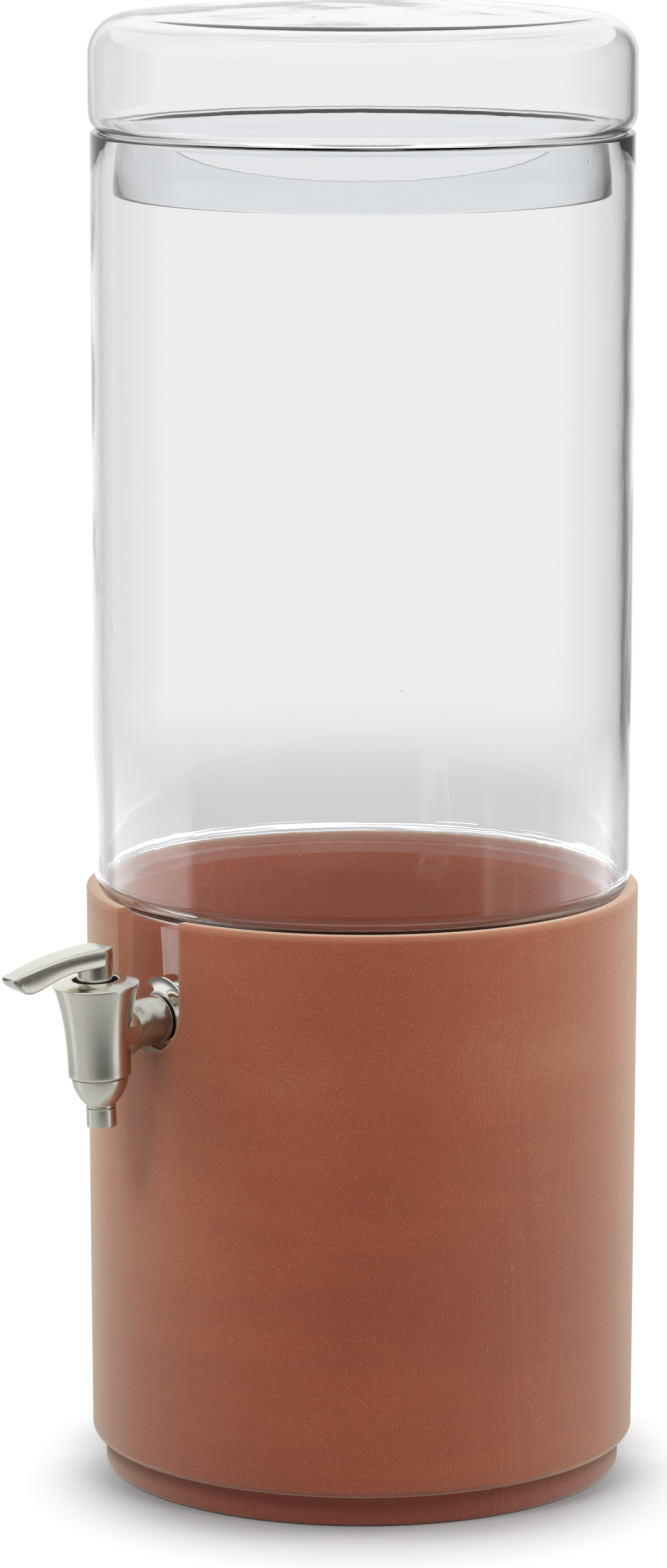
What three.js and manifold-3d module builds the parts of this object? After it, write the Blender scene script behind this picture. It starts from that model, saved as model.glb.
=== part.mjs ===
// A lidded drink dispenser: a clear vessel stands in a terracotta stand, and its lever tap comes out
// through a notch in the stand's rim.
// Millimetres, +Z up. The origin is the centre of the stand's flat underside, and the tap points to -Y.
import * as THREE from "three";
import { mergeVertices } from "three/addons/utils/BufferGeometryUtils.js";
import Module from "manifold-3d";

const wasm = await Module();
wasm.setup();

// Steps of the round shapes
const wideSteps = 44; // sides of the stand, the vessel and the lid
const tapSteps = 24; // sides of the tap's turned pieces
const smallSteps = 16; // sides of pins, rods and small bores
const ringSteps = 6; // sides of a seal ring's section
const bendSteps = 4; // steps of a wide rounding
const edgeSteps = 2; // steps of a small rounding
const flareSteps = 6; // steps of the tap body's flare

// Shared clearances
const seatGap = 0.3; // between two pieces that rest on each other
const slideGap = 0.3; // round a rod, a pin or a shank in its hole
const overrun = 1; // how far a cutting shape runs past what it cuts
const weldDistance = 0.0005; // vertices closer than this are one

// Stand
const standHeight = 236;
const standRimRadius = 110;
const standTaper = 1.2; // the wall draws in by this from the rim down to the step over the foot
const standWall = 6.8;
const standFloor = 11;
const rimSeatRadius = 3.5; // rounding of the rim's inner edge, which the vessel's shoulder sits on
const rimEdgeRadius = 0.9; // rounding of the rim's outer edge
const floorCornerRadius = 9;
const footInset = 5.4; // the foot stands back from the wall over it
const footHeight = 12.5;
const footEdgeRadius = 1.5;
const stepEdgeRadius = 3.2; // rounding of the wall's lower edge over the foot
const notchWidth = 38;
const notchDepth = 54; // from the rim to the bottom of the notch's round end

// Vessel
const vesselInset = 3.15; // the vessel's wall stands back from the stand's rim
const vesselWall = 4;
const vesselBodyHeight = 293; // from the shoulder's start to the mouth
const vesselFloor = 6;
const shoulderRadius = 10.5;
const neckPlay = 4.1; // between the neck and the stand's wall, at the shoulder
const neckFilletRadius = 4;
const neckDepth = 62.5; // from the fillet under the shoulder to the flat bottom
const neckDraft = THREE.MathUtils.degToRad(2.6); // the neck narrows downwards
const neckCornerRadius = 8;
const mouthEdgeRadius = 1.2;

// Lid
const lidOverhang = 0.75; // the lid's side stands out from the vessel's wall
const lidWall = 3;
const lidSideHeight = 21.8; // straight part between the lower and the upper rounding
const lidLowerRadius = 9.3;
const lidUpperRadius = 16;
const lidCrownRadius = 850;
const skirtPlay = 5.05; // between the skirt and the vessel's inner wall
const skirtDepth = 24.5; // below the vessel's mouth
const skirtFilletRadius = 2.5;

// Tap: heights are above the axis of its tube, and the barrel's axis crosses it
const tapDrop = 34.8; // from the neck's upper fillet down to the tube's axis
const tapReach = 35.8; // from the neck's wall to the barrel's axis
const barrelRimRadius = 17.1;
const barrelWaistRadius = 12.5;
const barrelRise = 19.9; // the rim's height
const barrelFall = 17.2; // down to the seam with the spout bowl
const flarePower = 2.5; // the flare opens with this power of the height
const barrelRimEdge = 0.5;
const barrelChamfer = 1.3;
const domeRise = 1.6; // the top face swells from the rim up to the opening
const openingRadius = 8.95;
const bushPocketDepth = 14.5; // from the opening's edge down to the ledge under the bush
const chamberRadius = 7.5;
const chamberFall = 10.4; // from the tube's axis down to the bowl's thread
const bowlThreadRadius = 10;
const portRadius = 4.6; // the water's way through the shank and the tube
const tubeRadius = 9.47;
const tubeFlareRadius = 2.2; // the tube swells by this where it grows out of the barrel
const tubeFlareLength = 9;
const shankRadius = 7.7;
const shankEnd = 17; // inside the neck, from its outer wall
const tubeEdge = 0.5;

// Seals and fixings of the tap on the neck
const outerGasketThickness = 1.8;
const outerGasketRadius = 14.2;
const flangeThickness = 2.4;
const flangeRimThickness = 0.9;
const flangeRadius = 16.2;
const flangeFaceRadius = 10.6; // flat ring that the collar seal rests on
const collarSealThickness = 2;
const innerGasketThickness = 2.4;
const innerGasketRadius = 12.5;
const innerWasherThickness = 1.2;
const innerWasherRadius = 13;
const nutThickness = 6;
const nutFlats = 22;
const nutChamfer = 0.8;

// Bush, rod and valve inside the barrel
const bushThickness = 7.3;
const bushChamfer = 0.6;
const stemSealThickness = 1.6;
const rodRadius = 2;
const rodEyeRadius = 3;
const rodEyeThickness = 3.6;
const pinHeight = 3.5; // above the foot of the lever's boss
const pinRadius = 1.2;
const pinInset = 0.6; // the pin ends this far inside the boss
const rodCollarRadius = 3.2;
const rodCollarThickness = 1.5;
const springSeatRadius = 5.8;
const springSeatThickness = 1.2;
const springLength = 15.6;
const springRadius = 4.4; // to the middle of the wire
const springWireRadius = 0.45;
const valveRadius = 6.2;
const valveHeight = 5;
const valveEdge = 1.2;
const buttonRadius = 3.4;
const buttonThickness = 1.4;
const buttonHeight = 1.8; // of the rod's button above the valve's sealing face

// Spout bowl and its tip
const bowlRimRadius = 11.3;
const bowlFloorFall = 22; // from the tube's axis down to the valve's seat
const bowlBoreRadius = 8;
const bowlNeckRadius = 5.95;
const bowlNeckFall = 28.4; // from the tube's axis down to where the bowl becomes the neck
const bowlNeckLength = 1.1;
const bowlSealThickness = 1.6;
const spoutBoreRadius = 3.9;
const tipSocketRadius = 5;
const tipSocketDepth = 2.8;
const tipLength = 7.4;
const tipEdge = 0.5;

// Lever: its profile is seen from the side, from the barrel's axis outwards
const leverReach = 42;
const leverTop = 34.5; // of the crest, above the tube's axis
const leverCrest = 3; // from the barrel's axis to the crest of the top
const leverTopRadius = 138;
const leverHubRadius = 7.2;
const leverTipWidth = 8.2;
const leverTipThickness = 1.2; // of the small end face
const leverBossRadius = 6.8;
const leverNeckThickness = 7.3; // where the arm leaves the hub
const leverPadDepth = 10; // that the depth shares below are counted in
const leverSwing = THREE.MathUtils.degToRad(20); // from closed to fully open
const leverBackRadius = 2; // rounding of the hub's upper back edge

// The lever's underside from the hub to the tip: shares of the reach, and of the pad's depth below the top
const undersideReachShares = [0.33, 0.48, 0.62, 0.71, 0.8, 0.87, 0.945];
const undersideDepthShares = [0.74, 0.78, 0.89, 0.955, 0.94, 0.81, 0.51];

// Counts
const springTurns = 7;
const springStepsPerTurn = 8;
const springSides = 5;
const nutSides = 6;

// Values worked out from the driving dimensions
const standInnerRadius = standRimRadius - standWall;
const vesselRadius = standRimRadius - vesselInset;
const vesselInnerRadius = vesselRadius - vesselWall;
const shoulderCentre = vesselRadius - shoulderRadius;
const seatCentreRadius = standInnerRadius + rimSeatRadius;
const seatCentreHeight = standHeight - rimSeatRadius;
// The shoulder's rounding touches the rim's rounding: their centres lie both radii and the gap apart.
const shoulderHeight =
  seatCentreHeight +
  otherLeg(shoulderRadius + rimSeatRadius + seatGap, seatCentreRadius - shoulderCentre);
const mouthHeight = shoulderHeight + vesselBodyHeight;
const neckTopRadius = standInnerRadius - neckPlay;
const filletCentre = neckTopRadius + neckFilletRadius;
const filletHeight =
  shoulderHeight - otherLeg(shoulderRadius + neckFilletRadius, filletCentre - shoulderCentre);
const neckBottom = filletHeight - neckDepth;
const tapHeight = filletHeight - tapDrop;
const neckRadius = neckRadiusAt(tapHeight);

const lidRadius = vesselRadius + lidOverhang;
const lidLowerCentre = lidRadius - lidLowerRadius;
const mouthCentreRadius = vesselInnerRadius + mouthEdgeRadius;
// The lid's lower rounding touches the rounded inner edge of the vessel's mouth.
const lidLowerHeight =
  mouthHeight -
  mouthEdgeRadius +
  otherLeg(lidLowerRadius + mouthEdgeRadius + seatGap, mouthCentreRadius - lidLowerCentre);
const lidUpperHeight = lidLowerHeight + lidSideHeight;
const lidUpperCentre = lidRadius - lidUpperRadius;
const skirtRadius = vesselInnerRadius - skirtPlay;
const skirtBottom = mouthHeight - skirtDepth;
const skirtFilletCentre = skirtRadius + skirtFilletRadius;
const skirtFilletHeight =
  lidLowerHeight - otherLeg(lidLowerRadius + skirtFilletRadius, lidLowerCentre - skirtFilletCentre);

// Distances from the neck's outer wall along the tap's axis, outwards negative as -Y is
const holeRadius = shankRadius + slideGap;
const outerGasketFace = -(seatGap + outerGasketThickness);
const flangeBack = outerGasketFace - seatGap;
const flangeFace = flangeBack - flangeThickness;
const collarSealFace = flangeFace - seatGap - collarSealThickness;
const tubeFace = collarSealFace - seatGap;
const innerGasketFace = vesselWall + seatGap + innerGasketThickness;
const innerWasherFace = innerGasketFace + seatGap + innerWasherThickness;
const nutBack = innerWasherFace + seatGap;

// Heights in the barrel, above the tube's axis
const openingEdge = barrelRise + domeRise;
const ledgeHeight = openingEdge - bushPocketDepth;
const bushBottom = ledgeHeight + seatGap;
const bushTop = bushBottom + bushThickness;
const bushRadius = openingRadius - slideGap;
const bossFoot = bushTop + seatGap;
const pinAxis = bossFoot + pinHeight;
const springTop = bushBottom - seatGap;
const springBottom = springTop - springLength;
const springSeatTop = springBottom - seatGap;
const rodCollarTop = springSeatTop - springSeatThickness - seatGap;
const rodCollarBottom = rodCollarTop - rodCollarThickness;
const rodBore = rodRadius + slideGap;
const bowlTop = -(barrelFall + seatGap);
const bowlSealHeight = -(chamberFall + seatGap + bowlSealThickness / 2);
const bowlCollarTop = -(chamberFall + seatGap + bowlSealThickness + seatGap);
const bowlCollarRadius = bowlThreadRadius - slideGap;
const valveFace = -bowlFloorFall + seatGap;
const bowlNeckEnd = -(bowlNeckFall + bowlNeckLength);
const tipTop = bowlNeckEnd - seatGap;
const tipBottom = tipTop - tipLength;
const tipSocketTop = bowlNeckEnd + tipSocketDepth;

function otherLeg(longest, leg) {
  return Math.sqrt(longest * longest - leg * leg);
}

// Outer radius of the neck's cone at a height
function neckRadiusAt(z) {
  return neckTopRadius - (filletHeight - z) * Math.tan(neckDraft);
}

// Colours and finishes
function finish(color, roughness, metalness, more = {}) {
  return new THREE.MeshStandardMaterial({ color, roughness, metalness, ...more });
}
const terracotta = finish(0xa5644a, 0.9, 0);
const clearGlass = finish(0xe9efef, 0.05, 0, { transparent: true, opacity: 0.3 });
const brushedSteel = finish(0xb9b4a8, 0.35, 1);
const polishedSteel = finish(0xd2d2d0, 0.12, 1);
const springSteel = finish(0xc4c4c4, 0.25, 1);
const clearSilicone = finish(0xdfe3e4, 0.4, 0, { transparent: true, opacity: 0.6 });
const blackRubber = finish(0x1b1b1c, 0.7, 0);
const whiteSilicone = finish(0xe8e6e0, 0.6, 0);
const bushPlastic = finish(0xe4e2da, 0.5, 0);

// Points of an arc from one angle to another, in degrees, counted from the first axis to the second
function arc(centreA, centreB, radius, fromDegrees, toDegrees, steps = bendSteps) {
  return Array.from({ length: steps + 1 }, (_, i) => {
    const angle = THREE.MathUtils.degToRad(fromDegrees + ((toDegrees - fromDegrees) * i) / steps);
    return [centreA + radius * Math.cos(angle), centreB + radius * Math.sin(angle)];
  });
}

// Angle in degrees of the line from one centre to another
function bearing(fromA, fromB, toA, toB) {
  return THREE.MathUtils.radToDeg(Math.atan2(toB - fromB, toA - fromA));
}

// A closed outline of radius and height turned about Z. It runs anticlockwise, so its faces point out.
function turned(outline, steps = tapSteps) {
  const closed = outline[0][0] === 0 ? outline : [...outline, outline[0]];
  const points = closed.map(([r, z]) => new THREE.Vector2(r, z));
  return new THREE.LatheGeometry(points, steps).rotateX(Math.PI / 2);
}

// The same about Y: heights of the outline become distances along Y
function turnedAlongY(outline, steps = tapSteps) {
  return turned(outline, steps).rotateX(-Math.PI / 2);
}

// The outline of a plain round piece with a bore, from one height to another
function tubeOutline(inner, outer, low, high) {
  return [[inner, low], [outer, low], [outer, high], [inner, high]];
}

// The outline of a full round bar
function barOutline(radius, low, high) {
  return [[0, low], [radius, low], [radius, high], [0, high]];
}

// A ring of round section about Z
function sealRing(middleRadius, sectionRadius, height = 0) {
  const turn = 360;
  return turned(arc(middleRadius, height, sectionRadius, 0, turn, ringSteps).slice(0, -1), smallSteps);
}

function toSolid(geometry) {
  const bare = geometry.index ? geometry.toNonIndexed() : geometry.clone();
  bare.deleteAttribute("normal");
  bare.deleteAttribute("uv");
  const merged = mergeVertices(bare, weldDistance);
  return new wasm.Manifold(
    new wasm.Mesh({
      numProp: 3,
      vertProperties: merged.attributes.position.array,
      triVerts: new Uint32Array(merged.index.array),
    }),
  );
}

function toGeometry(solid) {
  const { vertProperties, triVerts } = solid.getMesh();
  const geometry = new THREE.BufferGeometry();
  geometry.setAttribute("position", new THREE.BufferAttribute(vertProperties, 3));
  geometry.setIndex(new THREE.BufferAttribute(triVerts, 1));
  geometry.computeVertexNormals();
  return geometry;
}

const cut = (body, ...tools) =>
  toGeometry(tools.reduce((left, tool) => left.subtract(toSolid(tool)), toSolid(body)));
const join = (...bodies) => toGeometry(bodies.map(toSolid).reduce((a, b) => a.add(b)));
const common = (a, b) => toGeometry(toSolid(a).intersect(toSolid(b)));

function piece(name, geometry, material) {
  const mesh = new THREE.Mesh(geometry, material);
  mesh.name = name;
  return mesh;
}

// Stand: a thrown pot with a flat floor, a foot that stands back, and a notch in its rim
function standGeometry() {
  const wallFoot = standRimRadius - standTaper;
  const footRadius = wallFoot - footInset;
  const outline = [
    [0, 0],
    ...arc(footRadius - footEdgeRadius, footEdgeRadius, footEdgeRadius, -90, 0, edgeSteps),
    [footRadius, footHeight],
    ...arc(wallFoot - stepEdgeRadius, footHeight + stepEdgeRadius, stepEdgeRadius, -90, 0, bendSteps),
    ...arc(standRimRadius - rimEdgeRadius, standHeight - rimEdgeRadius, rimEdgeRadius, 0, 90, edgeSteps),
    ...arc(seatCentreRadius, seatCentreHeight, rimSeatRadius, 90, 180, bendSteps),
    ...arc(
      standInnerRadius - floorCornerRadius,
      standFloor + floorCornerRadius,
      floorCornerRadius,
      0,
      -90,
      bendSteps,
    ),
    [0, standFloor],
  ];
  const halfWidth = notchWidth / 2;
  const roundEnd = standHeight - notchDepth + halfWidth;
  const shape = new THREE.Shape(
    [
      ...arc(0, roundEnd, halfWidth, 180, 360, tapSteps / 2),
      [halfWidth, standHeight + overrun],
      [-halfWidth, standHeight + overrun],
    ].map(([x, z]) => new THREE.Vector2(x, z)),
  );
  const depth = standRimRadius + overrun;
  const notch = new THREE.ExtrudeGeometry(shape, { depth, bevelEnabled: false }).rotateX(Math.PI / 2);
  return cut(turned(outline, wideSteps), notch);
}

// Vessel: one wall of even thickness, so the inner roundings share the outer ones' centres
function vesselGeometry() {
  const toFillet = bearing(shoulderCentre, shoulderHeight, filletCentre, filletHeight);
  const toShoulder = 180 + toFillet;
  const low = neckBottom + neckCornerRadius;
  const innerLow = neckBottom + vesselFloor;
  const innerCorner = neckCornerRadius - vesselWall;
  const cornerCentre = neckRadiusAt(low) - neckCornerRadius;
  const outline = [
    [0, neckBottom],
    ...arc(cornerCentre, low, neckCornerRadius, -90, 0),
    ...arc(filletCentre, filletHeight, neckFilletRadius, 180, toShoulder, edgeSteps),
    ...arc(shoulderCentre, shoulderHeight, shoulderRadius, toFillet, 0),
    ...arc(vesselRadius - mouthEdgeRadius, mouthHeight - mouthEdgeRadius, mouthEdgeRadius, 0, 90, edgeSteps),
    ...arc(mouthCentreRadius, mouthHeight - mouthEdgeRadius, mouthEdgeRadius, 90, 180, edgeSteps),
    ...arc(shoulderCentre, shoulderHeight, shoulderRadius - vesselWall, 0, toFillet),
    ...arc(filletCentre, filletHeight, neckFilletRadius + vesselWall, toShoulder, 180, edgeSteps),
    ...arc(cornerCentre, innerLow + innerCorner, innerCorner, 0, -90, edgeSteps),
    [0, innerLow],
  ];
  const hole = inTapFrame(turnedAlongY(barOutline(holeRadius, -overrun, vesselWall + overrun)));
  return cut(turned(outline, wideSteps), hole);
}

// Moves a shape from the tap's frame, on the neck's outer wall and square to it, to the part's frame
const tapFrame = new THREE.Matrix4()
  .makeTranslation(0, -neckRadius, tapHeight)
  .multiply(new THREE.Matrix4().makeRotationX(neckDraft));
const fromTapFrame = tapFrame.clone().invert();
const inTapFrame = (geometry) => geometry.applyMatrix4(tapFrame);

// The neck's cone, seen from the tap's frame, moved out or in by an offset: what the gaskets fit against
function neckCone(offset) {
  const half = neckDepth / 2;
  const low = tapHeight - half;
  const high = tapHeight + half;
  const outline = [
    [0, low],
    [neckRadiusAt(low) + offset, low],
    [neckRadiusAt(high) + offset, high],
    [0, high],
  ];
  return turned(outline, wideSteps).applyMatrix4(fromTapFrame);
}

// Lid: one hollow blown shell, open at the mouth of its skirt
function lidGeometry() {
  const crownTilt = Math.asin(lidUpperCentre / (lidCrownRadius - lidUpperRadius));
  const crownAngle = THREE.MathUtils.radToDeg(crownTilt);
  const crownCentre = lidUpperHeight - (lidCrownRadius - lidUpperRadius) * Math.cos(crownTilt);
  const toFillet = bearing(lidLowerCentre, lidLowerHeight, skirtFilletCentre, skirtFilletHeight);
  const lip = lidWall / 2;
  const innerFilletRadius = skirtFilletRadius + lidWall;
  const crown = (radius) => arc(0, crownCentre, radius, 90 - crownAngle, 90, edgeSteps);
  const axis = (points) => points.map(([r, z], i) => [i === points.length - 1 ? 0 : r, z]);
  const outer = [
    ...arc(skirtRadius - lip, skirtBottom + lip, lip, -180, 0, edgeSteps),
    ...arc(skirtFilletCentre, skirtFilletHeight, skirtFilletRadius, 180, 180 + toFillet, edgeSteps),
    ...arc(lidLowerCentre, lidLowerHeight, lidLowerRadius, toFillet, 0),
    ...arc(lidUpperCentre, lidUpperHeight, lidUpperRadius, 0, 90 - crownAngle),
    ...axis(crown(lidCrownRadius)).slice(1),
  ];
  const inner = [
    ...axis(crown(lidCrownRadius - lidWall)).reverse(),
    ...arc(lidUpperCentre, lidUpperHeight, lidUpperRadius - lidWall, 90 - crownAngle, 0).slice(1),
    ...arc(lidLowerCentre, lidLowerHeight, lidLowerRadius - lidWall, 0, toFillet),
    ...arc(skirtFilletCentre, skirtFilletHeight, innerFilletRadius, 180 + toFillet, 180, edgeSteps),
  ];
  return turned([...inner, ...outer], wideSteps);
}

// Tap body: a flared barrel with a tube and a threaded shank at its back, bored through
function tapBodyGeometry() {
  const low = -(barrelFall - barrelChamfer);
  const high = barrelRise - barrelRimEdge;
  const flare = Array.from({ length: flareSteps + 1 }, (_, i) => {
    const share = i / flareSteps;
    const swell = (barrelRimRadius - barrelWaistRadius) * share ** flarePower;
    return [barrelWaistRadius + swell, low + (high - low) * share];
  });
  const domeReach = barrelRimRadius - barrelRimEdge - openingRadius;
  const dome = Array.from({ length: bendSteps }, (_, i) => {
    const share = (i + 1) / bendSteps;
    return [openingRadius + domeReach * (1 - share), barrelRise + domeRise * (1 - (1 - share) ** 2)];
  });
  const barrel = turned([
    [0, -barrelFall],
    [barrelWaistRadius - barrelChamfer, -barrelFall],
    ...flare,
    ...arc(barrelRimRadius - barrelRimEdge, high, barrelRimEdge, 0, 90, edgeSteps).slice(1),
    ...dome,
    [0, openingEdge],
  ]);
  const cavity = turned([
    [0, -(barrelFall + overrun)],
    [bowlThreadRadius, -(barrelFall + overrun)],
    [bowlThreadRadius, -chamberFall],
    [chamberRadius, -chamberFall],
    [chamberRadius, ledgeHeight],
    [openingRadius, ledgeHeight],
    [openingRadius, openingEdge + overrun],
    [0, openingEdge + overrun],
  ]);
  const root = barrelWaistRadius - tapReach;
  const swelling = Array.from({ length: bendSteps + 1 }, (_, i) => {
    const share = i / bendSteps;
    return [tubeRadius + tubeFlareRadius * (1 - share) ** 2, root + tubeFlareLength * share];
  });
  const tube = turnedAlongY([
    [0, -tapReach],
    [tubeRadius + tubeFlareRadius, -tapReach],
    ...swelling,
    [tubeRadius, tubeFace - tubeEdge],
    [tubeRadius - tubeEdge, tubeFace],
    [shankRadius, tubeFace],
    [shankRadius, shankEnd],
    [0, shankEnd],
  ]);
  const port = turnedAlongY(barOutline(portRadius, -tapReach, shankEnd + overrun));
  const outside = join(barrel.translate(0, -tapReach, 0), tube);
  return cut(outside, cavity.translate(0, -tapReach, 0), port);
}

// Gaskets: flat rings whose one side takes the curve of the neck's wall
function outerGasketGeometry() {
  const ring = turnedAlongY(tubeOutline(holeRadius, outerGasketRadius, outerGasketFace, vesselWall));
  return cut(ring, neckCone(seatGap));
}

function innerGasketGeometry() {
  const ring = turnedAlongY(tubeOutline(holeRadius, innerGasketRadius, 0, innerGasketFace));
  return common(ring, neckCone(-(vesselWall + seatGap)));
}

// Flange: a dished washer, thick round the hole and thin at its rim
function flangeGeometry() {
  const rimFace = flangeBack - flangeRimThickness;
  const dish = Array.from({ length: bendSteps + 1 }, (_, i) => {
    const share = i / bendSteps;
    const radius = flangeFaceRadius + (flangeRadius - flangeFaceRadius) * share;
    return [radius, rimFace + (flangeFace - rimFace) * (1 - share) ** 2];
  });
  return turnedAlongY([
    [holeRadius, flangeFace],
    ...dish,
    [flangeRadius, flangeBack],
    [holeRadius, flangeBack],
  ]);
}

function collarSealGeometry() {
  const section = collarSealThickness / 2;
  return turnedAlongY(
    arc(holeRadius + section, collarSealFace + section, section, 0, 360, ringSteps).slice(0, -1),
  );
}

function nutGeometry() {
  const corner = nutFlats / 2 / Math.cos(Math.PI / nutSides);
  const front = nutBack + nutThickness;
  const hexagon = turnedAlongY(barOutline(corner, nutBack, front), nutSides);
  const chamfer = turnedAlongY([
    [0, nutBack],
    [corner, nutBack],
    [corner, front - nutChamfer],
    [corner - 2 * nutChamfer, front],
    [0, front],
  ]);
  const bore = turnedAlongY(barOutline(holeRadius, nutBack - overrun, front + overrun));
  return cut(common(hexagon, chamfer), bore);
}

// Bush that guides the rod, with a groove for the ring that seals it
function bushGeometry() {
  const middle = bushBottom + bushThickness / 2;
  const half = stemSealThickness / 2 + seatGap;
  const groove = rodBore + stemSealThickness + seatGap;
  return turned([
    [rodBore, bushBottom],
    [bushRadius, bushBottom],
    [bushRadius, bushTop - bushChamfer],
    [bushRadius - bushChamfer, bushTop],
    [rodBore, bushTop],
    [rodBore, middle + half],
    [groove, middle + half],
    [groove, middle - half],
    [rodBore, middle - half],
  ]);
}

function stemSealGeometry() {
  const section = stemSealThickness / 2;
  return sealRing(rodBore + section, section, bushBottom + bushThickness / 2);
}

function bowlSealGeometry() {
  const section = bowlSealThickness / 2;
  return sealRing(bowlCollarRadius - section, section, bowlSealHeight);
}

// The middle line of the return spring, which climbs evenly
class SpringLine extends THREE.Curve {
  getPoint(share) {
    const angle = 2 * Math.PI * springTurns * share;
    const climb = springLength - 2 * springWireRadius;
    return new THREE.Vector3(
      springRadius * Math.cos(angle),
      springRadius * Math.sin(angle),
      springBottom + springWireRadius + climb * share,
    );
  }
}

// The least gap between one turn and the next, measured between points of the middle line
function leastSpringGap(line) {
  const points = line.getPoints(springTurns * springStepsPerTurn);
  const apart = springStepsPerTurn / 2;
  const gaps = points.flatMap((point, i) =>
    points.slice(i + apart).map((other) => point.distanceTo(other) - 2 * springWireRadius),
  );
  return Math.min(...gaps);
}

function springGeometry() {
  const line = new SpringLine();
  console.log(`return spring: least gap between turns ${leastSpringGap(line).toFixed(2)} mm`);
  const section = new THREE.Shape(
    arc(0, 0, springWireRadius, 0, 360, springSides)
      .slice(0, -1)
      .map(([x, y]) => new THREE.Vector2(x, y)),
  );
  return new THREE.ExtrudeGeometry(section, {
    steps: springTurns * springStepsPerTurn,
    extrudePath: line,
    bevelEnabled: false,
  });
}

// Plunger rod: an eye for the lever's pin, a collar under the spring seat, and a button in the valve seal
function rodGeometry() {
  const buttonLow = valveFace + buttonHeight;
  const buttonTop = buttonLow + buttonThickness;
  const rod = turned(
    [
      [0, buttonLow],
      [buttonRadius, buttonLow],
      [buttonRadius, buttonTop],
      [rodRadius, buttonTop],
      [rodRadius, rodCollarBottom],
      [rodCollarRadius, rodCollarBottom],
      [rodCollarRadius, rodCollarTop],
      [rodRadius, rodCollarTop],
      [rodRadius, pinAxis],
      [0, pinAxis],
    ],
    smallSteps,
  );
  const eye = crossBar(rodEyeRadius, rodEyeThickness);
  const bore = crossBar(pinRadius + slideGap, rodEyeThickness + 2 * overrun);
  return cut(join(rod, eye), bore);
}

// A round bar along X through the pin's axis
function crossBar(radius, length) {
  return new THREE.CylinderGeometry(radius, radius, length, smallSteps)
    .rotateZ(Math.PI / 2)
    .translate(0, 0, pinAxis);
}

function valveSealGeometry() {
  const top = valveFace + valveHeight;
  const cavityFloor = valveFace + buttonHeight - seatGap;
  const cavityTop = cavityFloor + buttonThickness + 2 * seatGap;
  const cavityRadius = buttonRadius + seatGap;
  return turned(
    [
      [0, valveFace],
      [valveRadius - valveEdge, valveFace],
      [valveRadius, valveFace + valveEdge],
      [valveRadius, valveFace + valveHeight / 2],
      [valveRadius - valveEdge, top],
      [rodBore, top],
      [rodBore, cavityTop],
      [cavityRadius, cavityTop],
      [cavityRadius, cavityFloor],
      [0, cavityFloor],
    ],
    smallSteps,
  );
}

// Spout bowl: a thin cup screwed into the barrel, narrowing to the neck of the spout
function bowlGeometry() {
  const power = 1.6; // between a cone and a ball
  const drop = bowlNeckFall + bowlTop;
  const fullDrop = drop / (1 - (bowlNeckRadius / bowlRimRadius) ** power) ** (1 / power);
  const cup = Array.from({ length: flareSteps }, (_, i) => {
    const fall = drop * (1 - i / flareSteps);
    return [bowlRimRadius * (1 - (fall / fullDrop) ** power) ** (1 / power), bowlTop - fall];
  });
  return turned([
    [tipSocketRadius, bowlNeckEnd],
    [bowlNeckRadius, bowlNeckEnd],
    ...cup,
    [bowlRimRadius, bowlTop],
    [bowlCollarRadius, bowlTop],
    [bowlCollarRadius, bowlCollarTop],
    [bowlBoreRadius, bowlCollarTop],
    [bowlBoreRadius, -bowlFloorFall],
    [spoutBoreRadius, -bowlFloorFall],
    [spoutBoreRadius, tipSocketTop],
    [tipSocketRadius, tipSocketTop],
  ]);
}

function tipGeometry() {
  const spigotTop = tipSocketTop - seatGap;
  const spigotRadius = tipSocketRadius - slideGap;
  return turned([
    [spoutBoreRadius + tipEdge, tipBottom],
    [bowlNeckRadius - tipEdge, tipBottom],
    [bowlNeckRadius, tipBottom + tipEdge],
    [bowlNeckRadius, tipTop],
    [spigotRadius, tipTop],
    [spigotRadius, spigotTop],
    [spoutBoreRadius, spigotTop],
    [spoutBoreRadius, tipBottom + tipEdge],
  ]);
}

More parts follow.
